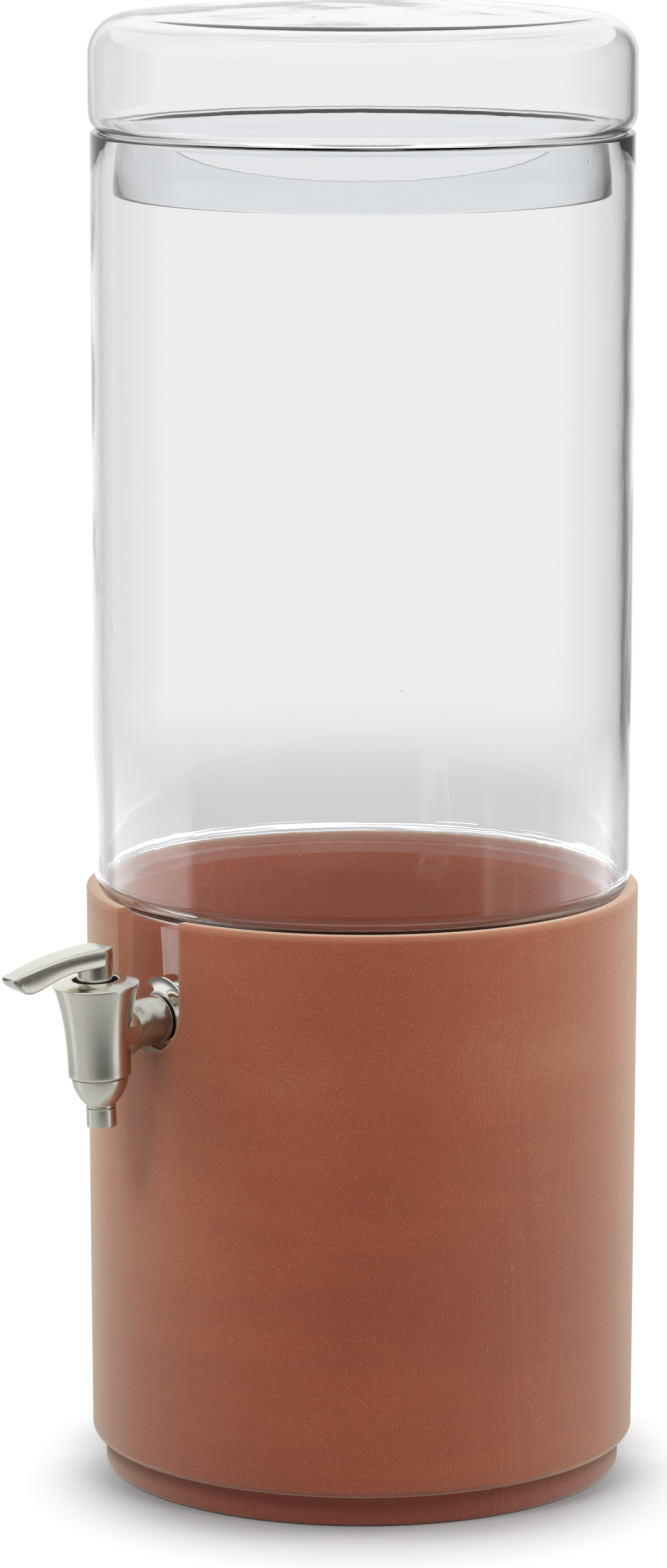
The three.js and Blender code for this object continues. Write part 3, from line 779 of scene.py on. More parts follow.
@dataclass(frozen=True)
class Moulded:
    """Moulded rubber, silicone or plastic with a fine matt grain."""

    slot: str
    color: Color
    rough: tuple[float, float] = (0.45, 0.65)
    clear: float = 0.0
    grain_fineness: float = 2600.0
    blotch_scale: float = 160.0
    shade: float = 0.85  # how dark the blotches are
    relief: float = 0.0001

    def material(self) -> bpy.types.Material:
        """Returns the material."""
        material, n, shader, _ = started(self.slot)
        place = n.add("TexCoord").outputs["Object"]
        grain = n.group(
            GRAIN, Vector=place, Fineness=self.grain_fineness, Blotch=self.blotch_scale
        )
        height, tone = grain.outputs["Height"], n.span(grain.outputs["Tone"], 0.35, 0.65)
        bump = n.add("Bump", Strength=0.2, Distance=self.relief, Height=height)
        n.fill(
            shader,
            Base_Color=n.blend(tone, darker(self.color, self.shade), self.color),
            Roughness=n.span(height, 0.3, 0.7, *self.rough),
            Normal=bump.outputs[0],
            Transmission_Weight=self.clear,
            IOR=1.41,
        )
        return material


WARM_STEEL = (0.73, 0.715, 0.64, 1)
BRIGHT_STEEL = (0.78, 0.775, 0.755, 1)


class Finishes:
    """All finishes of the dispenser, each made once."""

    def __init__(self, stand: "Stand") -> None:
        """Makes the materials.

        Args:
            stand: the stand, whose clay follows its sizes.
        """
        brushed, polished = "brushed_steel", "polished_steel"
        kinds = {
            "terracotta": Terracotta(stand),
            "glass": ClearGlass(),
            "barrel": Steel(brushed, "brushed_steel_barrel", WARM_STEEL, (0.17, 0.25)),
            "arm": Steel(brushed, "brushed_steel_arm", WARM_STEEL, (0.14, 0.22), Brush.ALONG_Y),
            "shank": Steel(brushed, "turned_steel_fixings", WARM_STEEL, (0.24, 0.36), Brush.TUBE),
            "polished": Steel(polished, polished, BRIGHT_STEEL, (0.05, 0.11), Brush.TUBE, 0.05),
            "bright": Steel("spring_steel", "bright_steel", BRIGHT_STEEL, (0.16, 0.26)),
            "plastic": Moulded("bush_plastic", (0.72, 0.71, 0.66, 1)),
            "rubber": Moulded("black_rubber", (0.075, 0.066, 0.06, 1)),
            "silicone": Moulded("white_silicone", (0.74, 0.73, 0.69, 1), (0.4, 0.55)),
            "clear_silicone": Moulded("clear_silicone", (0.86, 0.87, 0.88, 1), (0.12, 0.3), 0.85),
        }
        self.slots = {key: kind.slot for key, kind in kinds.items()}
        self.made = {key: kind.material() for key, kind in kinds.items()}

    def dress(self, piece: Piece, finish: str, node: str, body: Body) -> Piece:
        """Gives a piece its finish and puts it in its node's place.

        Args:
            piece: the finished mesh.
            finish: name of the finish.
            node: the node of the part that it stands for.
            body: the body that it rides on.

        Returns:
            The piece.
        """
        piece.data.materials.clear()
        piece.data.materials.append(self.made[finish])
        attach(piece, body.value)
        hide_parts(node)
        log.info("%s: %d faces, rides on %s", piece.name, len(piece.data.polygons), body.value)
        return piece


# The dispenser's sub-assemblies


@dataclass
class Stand:
    """A thrown pot with a flat floor, a foot that stands back, and a notch in its rim."""

    height: float = 236.0
    rim_radius: float = 110.0
    taper: float = 1.2
    wall: float = 6.8
    floor: float = 11.0
    seat_radius: float = 3.5
    rim_edge: float = 0.9
    floor_corner: float = 9.0
    foot_inset: float = 5.4
    foot_height: float = 12.5
    foot_edge: float = 1.5
    foot_corner: float = 0.5  # chamfer in the corner between the foot and the step
    step_edge: float = 3.2
    notch_width: float = 38.0
    notch_depth: float = 54.0
    notch_edge: float = 0.7
    longest_run: float = 9.0  # of the outline between two points

    @property
    def inner_radius(self) -> float:
        """Radius inside the wall."""
        return self.rim_radius - self.wall

    @property
    def seat_centre(self) -> tuple[float, float]:
        """Middle of the rounding of the rim's inner edge."""
        return self.inner_radius + self.seat_radius, self.height - self.seat_radius

    def outline(self) -> Outline:
        """Returns the outline from the middle of the underside to the middle of the floor."""
        wall_foot = self.rim_radius - self.taper
        foot = wall_foot - self.foot_inset
        step = (wall_foot - self.step_edge, self.foot_height + self.step_edge)
        rim = (self.rim_radius - self.rim_edge, self.height - self.rim_edge)
        corner = (self.inner_radius - self.floor_corner, self.floor + self.floor_corner)
        points = [
            (0, 0),
            *arc((foot - self.foot_edge, self.foot_edge), self.foot_edge, -90, 0, 5),
            (foot, self.foot_height - self.foot_corner),
            (foot + self.foot_corner, self.foot_height),
            *arc(step, self.step_edge, -90, 0, 8),
            *arc(rim, self.rim_edge, 0, 90, 5),
            *arc(self.seat_centre, self.seat_radius, 90, 180, 8),
            *arc(corner, self.floor_corner, 0, -90, 8),
            (0, self.floor),
        ]
        return ruled(points, self.longest_run)

    def notch(self) -> Piece:
        """Returns the cutting shape of the notch: a bar along Y whose upper half is drawn up."""
        half = self.notch_width / 2
        centre = self.height - self.notch_depth + half
        deselect()
        bpy.ops.mesh.primitive_cylinder_add(
            vertices=96,
            radius=half * MM,
            depth=self.rim_radius * MM,
            location=(0, -self.rim_radius * MM, centre * MM),
            rotation=(math.pi / 2, 0, 0),
        )
        piece = apply_place(named(bpy.context.object, "notch_cutter"))
        bpy.ops.object.mode_set(mode="EDIT")
        select_where(piece, lambda place: place.z > (centre + OVERRUN / 2) * MM)
        bpy.ops.transform.translate(value=(0, 0, self.notch_depth * MM))
        bpy.ops.object.mode_set(mode="OBJECT")
        return piece

    def build(self, finishes: Finishes) -> None:
        """Builds and dresses the stand.

        Args:
            finishes: the finishes.
        """
        piece = turned("terracotta_stand_thrown", self.outline(), steps=WIDE_STEPS)
        combine(piece, self.notch(), "DIFFERENCE")
        bevel(piece, self.notch_edge, 3, 50)
        finishes.dress(smooth(piece, 40), "terracotta", "terracotta_stand", Body.STAND)


@dataclass
class Vessel:
    """One clear wall of even thickness, with a neck that goes down into the stand."""

    stand: Stand
    inset: float = 3.15
    wall: float = 4.0
    body_height: float = 293.0
    floor: float = 6.0
    shoulder_radius: float = 10.5
    neck_play: float = 4.1
    fillet_radius: float = 4.0
    neck_depth: float = 62.5
    draft: float = math.radians(2.6)
    corner_radius: float = 8.0
    mouth_edge: float = 1.2
    tap_drop: float = 34.8
    hole_radius: float = 8.0
    longest_run: float = 14.0  # of the outline between two points

    def __post_init__(self) -> None:
        """Works out the places that follow from the sizes."""
        self.radius = self.stand.rim_radius - self.inset
        self.inner_radius = self.radius - self.wall
        seat_radius, seat_height = self.stand.seat_centre
        self.shoulder_centre = self.radius - self.shoulder_radius
        reach = self.shoulder_radius + self.stand.seat_radius + SEAT_GAP
        self.shoulder_height = seat_height + other_leg(reach, seat_radius - self.shoulder_centre)
        self.mouth_height = self.shoulder_height + self.body_height
        self.neck_top = self.stand.inner_radius - self.neck_play
        self.fillet_centre = self.neck_top + self.fillet_radius
        self.fillet_height = self.shoulder_height - other_leg(
            self.shoulder_radius + self.fillet_radius, self.fillet_centre - self.shoulder_centre
        )
        self.neck_bottom = self.fillet_height - self.neck_depth
        self.tap_height = self.fillet_height - self.tap_drop
        self.neck_radius = self.neck_radius_at(self.tap_height)

    def neck_radius_at(self, height: float) -> float:
        """Returns the outer radius of the neck's cone at a height."""
        return self.neck_top - (self.fillet_height - height) * math.tan(self.draft)

    def outline(self) -> Outline:
        """Returns the outline from the middle of the underside round to the middle of the floor."""
        shoulder = (self.shoulder_centre, self.shoulder_height)
        fillet = (self.fillet_centre, self.fillet_height)
        to_fillet = bearing(shoulder, fillet)
        to_shoulder = 180 + to_fillet
        low = self.neck_bottom + self.corner_radius
        inner_low = self.neck_bottom + self.floor
        inner_corner = self.corner_radius - self.wall
        corner = self.neck_radius_at(low) - self.corner_radius
        edge = self.mouth_edge
        rim = self.mouth_height - edge
        points = [
            (0, self.neck_bottom),
            *arc((corner, low), self.corner_radius, -90, 0, 12),
            *arc(fillet, self.fillet_radius, 180, to_shoulder, 10),
            *arc(shoulder, self.shoulder_radius, to_fillet, 0, 20),
            *arc((self.radius - edge, rim), edge, 0, 90, 5),
            *arc((self.inner_radius + edge, rim), edge, 90, 180, 5),
            *arc(shoulder, self.shoulder_radius - self.wall, 0, to_fillet, 18),
            *arc(fillet, self.fillet_radius + self.wall, to_shoulder, 180, 12),
            *arc((corner, inner_low + inner_corner), inner_corner, 0, -90, 8),
            (0, inner_low),
        ]
        return ruled(points, self.longest_run)

    def build(self, finishes: Finishes, seat: "TapSeat") -> None:
        """Builds and dresses the vessel, with its hole for the tap's shank.

        Args:
            finishes: the finishes.
            seat: where the tap sits.
        """
        piece = turned("glass_vessel_blown", self.outline(), steps=WIDE_STEPS)
        hole = bar("shank_hole", self.hole_radius, -2 * OVERRUN, self.wall + 2 * OVERRUN, Axis.BACK)
        combine(piece, put(hole, seat.on_neck), "DIFFERENCE")
        finishes.dress(smooth(piece, 60), "glass", "glass_vessel", Body.VESSEL)


@dataclass
class Lid:
    """One hollow blown shell, open at the mouth of its skirt."""

    vessel: Vessel
    overhang: float = 0.75
    wall: float = 3.0
    side_height: float = 21.8
    lower_radius: float = 9.3
    upper_radius: float = 16.0
    crown_radius: float = 850.0
    skirt_play: float = 5.05
    skirt_depth: float = 24.5
    fillet_radius: float = 2.5

    def outline(self) -> Outline:
        """Returns the outline from the middle of the crown's inside to the middle of its top."""
        vessel = self.vessel
        radius = vessel.radius + self.overhang
        lower_centre = radius - self.lower_radius
        mouth_centre = vessel.inner_radius + vessel.mouth_edge
        reach = self.lower_radius + vessel.mouth_edge + SEAT_GAP
        lower_height = (
            vessel.mouth_height - vessel.mouth_edge + other_leg(reach, mouth_centre - lower_centre)
        )
        upper_height = lower_height + self.side_height
        upper_centre = radius - self.upper_radius
        skirt = vessel.inner_radius - self.skirt_play
        skirt_bottom = vessel.mouth_height - self.skirt_depth
        fillet_centre = skirt + self.fillet_radius
        fillet_height = lower_height - other_leg(
            self.lower_radius + self.fillet_radius, lower_centre - fillet_centre
        )
        lower = (lower_centre, lower_height)
        upper = (upper_centre, upper_height)
        fillet = (fillet_centre, fillet_height)
        tilt = math.asin(upper_centre / (self.crown_radius - self.upper_radius))
        angle = math.degrees(tilt)
        crown = (0.0, upper_height - (self.crown_radius - self.upper_radius) * math.cos(tilt))
        to_fillet = bearing(lower, fillet)
        lip = self.wall / 2
        inner_crown = arc(crown, self.crown_radius - self.wall, 90, 90 - angle, 12)
        outer_crown = arc(crown, self.crown_radius, 90 - angle, 90, 12)
        points = [
            (0, inner_crown[0][1]),
            *inner_crown[1:],
            *arc(upper, self.upper_radius - self.wall, 90 - angle, 0, 16)[1:],
            *arc(lower, self.lower_radius - self.wall, 0, to_fillet, 14),
            *arc(fillet, self.fillet_radius + self.wall, 180 + to_fillet, 180, 8),
            *arc((skirt - lip, skirt_bottom + lip), lip, -180, 0, 8),
            *arc(fillet, self.fillet_radius, 180, 180 + to_fillet, 8),
            *arc(lower, self.lower_radius, to_fillet, 0, 16),
            *arc(upper, self.upper_radius, 0, 90 - angle, 18),
            *outer_crown[1:-1],
            (0, outer_crown[-1][1]),
        ]
        return points

    def build(self, finishes: Finishes) -> None:
        """Builds and dresses the lid.

        Args:
            finishes: the finishes.
        """
        piece = turned("glass_lid_blown", self.outline(), steps=WIDE_STEPS)
        finishes.dress(smooth(piece, 60), "glass", "glass_lid", Body.LID)


@dataclass
class TapSeat:
    """Where the tap sits: square to the neck's wall at its hole."""

    vessel: Vessel
    reach: float = 35.8

    def __post_init__(self) -> None:
        """Works out the two frames."""
        place = Vector((0, -self.vessel.neck_radius, self.vessel.tap_height)) * MM
        tilt = Matrix.Rotation(self.vessel.draft, 4, "X")
        self.on_neck = Matrix.Translation(place) @ tilt
        self.on_barrel = self.on_neck @ Matrix.Translation((0, -self.reach * MM, 0))

    def neck_cone(self, name: str, offset: float) -> Piece:
        """Makes the neck's cone, as a cutting shape in the part's frame.

        Args:
            name: name of the piece.
            offset: how far outside the neck's surface it lies.

        Returns:
            The piece.
        """
        half = self.vessel.neck_depth / 2
        low = self.vessel.tap_height - half
        high = self.vessel.tap_height + half
        outline = [
            (0, low),
            (self.vessel.neck_radius_at(low) + offset, low),
            (self.vessel.neck_radius_at(high) + offset, high),
            (0, high),
        ]
        return turned(name, outline, steps=WIDE_STEPS)


@dataclass
class Fixings:
    """What clamps the tap to the neck: flange, gaskets, seal, washer and nut."""

    seat: TapSeat
    outer_gasket: tuple[float, float] = (14.2, 1.8)  # radius and thickness
    flange_radius: float = 16.2
    flange_face: float = 10.6
    flange_thickness: float = 2.4
    flange_rim: float = 0.9
    seal_thickness: float = 2.0
    seal_width: float = 0.65
    inner_gasket: tuple[float, float] = (12.5, 2.4)
    washer: tuple[float, float] = (13.0, 1.2)
    nut_flats: float = 22.0
    nut_thickness: float = 6.0
    nut_chamfer: float = 0.8
    flange_edge: float = 0.25
    gasket_edge: float = 0.3

    def __post_init__(self) -> None:
        """Works out the distances from the neck's wall, outwards negative."""
        wall = self.seat.vessel.wall
        self.bore = self.seat.vessel.hole_radius
        self.gasket_face = -(SEAT_GAP + self.outer_gasket[1])
        self.flange_back = self.gasket_face - SEAT_GAP
        self.flange_front = self.flange_back - self.flange_thickness
        self.seal_face = self.flange_front - SEAT_GAP - self.seal_thickness
        self.inner_face = wall + SEAT_GAP + self.inner_gasket[1]
        self.washer_face = self.inner_face + SEAT_GAP + self.washer[1]
        self.nut_back = self.washer_face + SEAT_GAP

    def flange(self) -> Piece:
        """Returns the dished washer, thick round the hole and thin at its rim."""
        rim_face = self.flange_back - self.flange_rim
        edge = self.flange_edge
        dish = []
        for i in range(CURVE_STEPS):
            share = i / CURVE_STEPS
            radius = self.flange_face + (self.flange_radius - self.flange_face) * share
            dish.append((radius, rim_face + (self.flange_front - rim_face) * (1 - share) ** 2))
        outline = [
            (self.bore, self.flange_front),
            *dish,
            (self.flange_radius - edge, rim_face),
            (self.flange_radius, rim_face + edge),
            (self.flange_radius, self.flange_back - edge),
            (self.flange_radius - edge, self.flange_back),
            (self.bore, self.flange_back),
        ]
        return smooth(turned("flange_turned", outline, Axis.BACK), 40)

    def collar_seal(self) -> Piece:
        """Returns the dark ring between the tube's end and the flange."""
        half = self.seal_thickness / 2
        middle, reach = self.bore + self.seal_width / 2, self.seal_width / 2
        section = arc((0, 0), 1.0, 0, 360, 18)[:-1]
        outline = [(middle + r * reach, self.seal_face + half + y * half) for r, y in section]
        return smooth(turned("collar_seal_ring", outline, Axis.BACK), 60)

    def gasket(self, name: str, radius: float, low: float, high: float) -> Piece:
        """Returns a flat ring about the shank from one distance to another."""
        return turned(name, flat_ring(self.bore, radius, low, high, self.gasket_edge), Axis.BACK)

    def nut(self) -> Piece:
        """Returns the six-sided nut with its corners turned down."""
        corner = self.nut_flats / 2 / math.cos(math.pi / 6)
        front = self.nut_back + self.nut_thickness
        deselect()
        bpy.ops.mesh.primitive_cylinder_add(
            vertices=6,
            radius=corner * MM,
            depth=self.nut_thickness * MM,
            location=(0, (self.nut_back + front) / 2 * MM, 0),
            rotation=(-math.pi / 2, 0, 0),
        )
        nut = apply_place(named(bpy.context.object, "shank_nut_cut"))
        low = self.nut_back - OVERRUN
        outline = [
            (0, low),
            (corner + OVERRUN, low),
            (corner + OVERRUN, front - self.nut_chamfer - OVERRUN / 2),
            (corner - 2 * self.nut_chamfer, front),
            (0, front),
        ]
        combine(nut, turned("nut_chamfer", outline, Axis.BACK), "INTERSECT")
        hole = bar("nut_bore", self.bore, low, front + OVERRUN, Axis.BACK)
        combine(nut, hole, "DIFFERENCE")
        return smooth(nut, 25)

    def build(self, finishes: Finishes) -> None:
        """Builds and dresses the fixings.

        Args:
            finishes: the finishes.
        """
        place = self.seat.on_neck
        wall = self.seat.vessel.wall
        finishes.dress(put(self.flange(), place), "polished", "flange", Body.VESSEL)
        finishes.dress(put(self.collar_seal(), place), "rubber", "collar_seal", Body.VESSEL)
        outer = self.gasket("outer_gasket_cut", self.outer_gasket[0], self.gasket_face, wall)
        combine(put(outer, place), self.seat.neck_cone("neck_outside", SEAT_GAP), "DIFFERENCE")
        finishes.dress(smooth(outer, 40), "clear_silicone", "outer_gasket", Body.VESSEL)
        inner = self.gasket("inner_gasket_cut", self.inner_gasket[0], 0.0, self.inner_face)
        cone = self.seat.neck_cone("neck_inside", -(wall + SEAT_GAP))
        combine(put(inner, place), cone, "INTERSECT")
        finishes.dress(smooth(inner, 40), "silicone", "inner_gasket", Body.VESSEL)
        low = self.inner_face + SEAT_GAP
        washer = self.gasket("inner_washer_turned", self.washer[0], low, self.washer_face)
        finishes.dress(put(smooth(washer, 30), place), "shank", "inner_washer", Body.VESSEL)
        finishes.dress(put(self.nut(), place), "shank", "shank_nut", Body.VESSEL)


@dataclass
class Tap:
    """The tap's casting and its spout: barrel with tube and shank, bowl and tip."""

    seat: TapSeat
    fixings: Fixings
    rim_radius: float = 17.1
    waist_radius: float = 12.5
    rise: float = 19.9
    fall: float = 17.2
    flare_power: float = 2.5
    rim_edge: float = 0.5
    chamfer: float = 1.3
    dome: float = 1.6
    opening: float = 8.95
    opening_lip: float = 0.35
    pocket_depth: float = 14.5
    chamber: float = 7.5
    chamber_fall: float = 10.4
    thread: float = 10.0
    port: float = 4.6
    tube_radius: float = 9.47
    tube_flare: float = 2.2
    tube_flare_length: float = 9.0
    shank_radius: float = 7.7
    shank_end: float = 17.0
    thread_depth: float = 0.45
    thread_pitch: float = 1.5
    thread_crest: float = 0.35  # share of the pitch
    thread_root: float = 0.85  # share of the pitch
    tube_edge: float = 0.4
    tube_lip: tuple[float, float] = (0.55, 1.5)  # width and reach over the collar seal
    bowl_rim: float = 11.3
    bowl_edge: float = 0.15
    bowl_floor_fall: float = 22.0
    bowl_bore: float = 8.0
    bowl_neck: float = 5.95
    bowl_neck_fall: float = 28.4
    bowl_neck_length: float = 1.1
    bowl_seal: float = 1.6
    bowl_power: float = 1.6
    spout_bore: float = 3.9
    socket_radius: float = 5.0
    socket_depth: float = 2.8
    tip_length: float = 7.4
    tip_edge: float = 0.5
    fine_edge: float = 0.2  # chamfers where the bowl and the tip meet

    def __post_init__(self) -> None:
        """Works out the heights above the tube's axis."""
        self.edge_height = self.rise + self.dome
        self.ledge = self.edge_height - self.pocket_depth
        self.bowl_top = -(self.fall + SEAT_GAP)
        self.neck_end = -(self.bowl_neck_fall + self.bowl_neck_length)
        self.tip_top = self.neck_end - SEAT_GAP
        self.tip_bottom = self.tip_top - self.tip_length
        self.socket_top = self.neck_end + self.socket_depth
        self.valve_face = -self.bowl_floor_fall + SEAT_GAP

    def barrel(self) -> Piece:
        """Returns the flared barrel as a full body."""
        low = -(self.fall - self.chamfer)
        high = self.rise - self.rim_edge
        steps = 28
        corner = (self.waist_radius - self.chamfer, low)
        flare = [
            (
                self.waist_radius
                + (self.rim_radius - self.waist_radius) * (i / steps) ** self.flare_power,
                low + (high - low) * i / steps,
            )
            for i in range(steps + 1)
        ]
        lip = self.opening_lip
        dome_reach = self.rim_radius - self.rim_edge - self.opening - lip
        dome = [
            (
                self.opening + lip + dome_reach * (1 - i / CURVE_STEPS),
                self.rise + (self.dome - lip / 2) * (1 - (1 - i / CURVE_STEPS) ** 2),
            )
            for i in range(1, CURVE_STEPS + 1)
        ]
        return turned(
            "tap_body_cast",
            [
                (0, -self.fall),
                (self.waist_radius - self.chamfer, -self.fall),
                *arc(corner, self.chamfer, -90, 0, 6)[1:-1],
                *flare,
                *arc((self.rim_radius - self.rim_edge, high), self.rim_edge, 0, 90, 5)[1:],
                *dome,
                (self.opening, self.edge_height - lip),
                (0, self.edge_height - lip),
            ],
        )

    def cavity(self) -> Piece:
        """Returns the cutting shape of the barrel's inside."""
        below = -(self.fall + OVERRUN)
        above = self.edge_height + OVERRUN
        return turned(
            "barrel_cavity",
            [
                (0, below),
                (self.thread, below),
                (self.thread, -self.chamber_fall),
                (self.chamber, -self.chamber_fall),
                (self.chamber, self.ledge),
                (self.opening, self.ledge),
                (self.opening, above),
                (0, above),
            ],
        )

    def tube(self) -> Piece:
        """Returns the tube with its threaded shank as a full body."""
        root = self.waist_radius - self.seat.reach
        face = self.fixings.seal_face - SEAT_GAP
        lip = face + self.tube_lip[1]
        swelling = [
            (
                self.tube_radius + self.tube_flare * (1 - i / CURVE_STEPS) ** 2,
                root + self.tube_flare_length * i / CURVE_STEPS,
            )
            for i in range(CURVE_STEPS + 1)
        ]
        edge = self.tube_edge
        low = self.shank_radius - self.thread_depth
        pitch = self.thread_pitch
        count = int((self.shank_end - self.fixings.nut_back) / pitch)
        thread = []
        for i in range(count):
            start = self.fixings.nut_back + i * pitch
            thread.append((self.shank_radius, start + self.thread_crest * pitch))
            thread.append((low, start + self.thread_root * pitch))
        return turned(
            "tap_tube",
            [
                (0, -self.seat.reach),
                (self.tube_radius + self.tube_flare, -self.seat.reach),
                *swelling,
                *arc((self.tube_radius - edge, lip - edge), edge, 0, 90, 4),
                (self.tube_radius - self.tube_lip[0], lip),
                (self.tube_radius - self.tube_lip[0], face),
                (self.shank_radius, face),
                (self.shank_radius, self.fixings.nut_back),
                *thread,
                (low, self.shank_end),
                (0, self.shank_end),
            ],
            Axis.BACK,
        )

    def body(self) -> Piece:
        """Returns the casting, bored through."""
        shift = Matrix.Translation((0, -self.seat.reach * MM, 0))
        casting = combine(put(self.barrel(), shift), self.tube(), "UNION")
        combine(casting, put(self.cavity(), shift), "DIFFERENCE")
        port = bar("tap_port", self.port, -self.seat.reach, self.shank_end + OVERRUN, Axis.BACK)
        return smooth(combine(casting, port, "DIFFERENCE"), 36)

    def bowl(self) -> Piece:
        """Returns the cup that is screwed into the barrel's foot."""
        drop = self.bowl_neck_fall + self.bowl_top
        ratio = (self.bowl_neck / self.bowl_rim) ** self.bowl_power
        full = drop / (1 - ratio) ** (1 / self.bowl_power)
        steps = 24
        cup = []
        for i in range(steps):
            fall = drop * (1 - i / steps)
            radius = self.bowl_rim * (1 - (fall / full) ** self.bowl_power) ** (1 / self.bowl_power)
            cup.append((radius, self.bowl_top - fall))
        collar = self.thread - SLIDE_GAP
        collar_top = -(self.chamber_fall + 2 * SEAT_GAP + self.bowl_seal)
        outline = [
            (self.socket_radius, self.neck_end),
            (self.bowl_neck - self.fine_edge, self.neck_end),
            (self.bowl_neck, self.neck_end + self.fine_edge),
            *cup,
            (self.bowl_rim, self.bowl_top - self.bowl_edge),
            (self.bowl_rim - self.bowl_edge, self.bowl_top),
            (collar, self.bowl_top),
            (collar, collar_top),
            (self.bowl_bore, collar_top),
            (self.bowl_bore, -self.bowl_floor_fall),
            (self.spout_bore, -self.bowl_floor_fall),
            (self.spout_bore, self.socket_top),
            (self.socket_radius, self.socket_top),
        ]
        return smooth(turned("spout_bowl_turned", outline), 40)

    def tip(self) -> Piece:
        """Returns the short sleeve pressed into the bowl's neck."""
        spigot_top = self.socket_top - SEAT_GAP
        spigot = self.socket_radius - SLIDE_GAP
        edge = self.tip_edge
        outline = [
            (self.spout_bore + edge, self.tip_bottom),
            *arc((self.bowl_neck - edge, self.tip_bottom + edge), edge, -90, 0, 4),
            (self.bowl_neck, self.tip_top - self.fine_edge),
            (self.bowl_neck - self.fine_edge, self.tip_top),
            (spigot, self.tip_top),
            (spigot, spigot_top),
            (self.spout_bore, spigot_top),
            (self.spout_bore, self.tip_bottom + edge),
        ]
        return smooth(turned("spout_tip_turned", outline), 40)

    def seal(self) -> Piece:
        """Returns the ring between the bowl's collar and the barrel."""
        section = self.bowl_seal / 2
        centre = (self.thread - SLIDE_GAP - section, -(self.chamber_fall + SEAT_GAP + section))
        return sealing_ring("bowl_seal_ring", centre, section)

    def build(self, finishes: Finishes) -> None:
        """Builds and dresses the casting, the bowl, the tip and their seal.

        Args:
            finishes: the finishes.
        """
        barrel = self.seat.on_barrel
        finishes.dress(put(self.body(), self.seat.on_neck), "barrel", "tap_body", Body.VESSEL)
        finishes.dress(put(self.bowl(), barrel), "barrel", "spout_bowl", Body.VESSEL)
        finishes.dress(put(self.tip(), barrel), "barrel", "spout_tip", Body.VESSEL)
        finishes.dress(put(self.seal(), barrel), "rubber", "bowl_seal", Body.VESSEL)


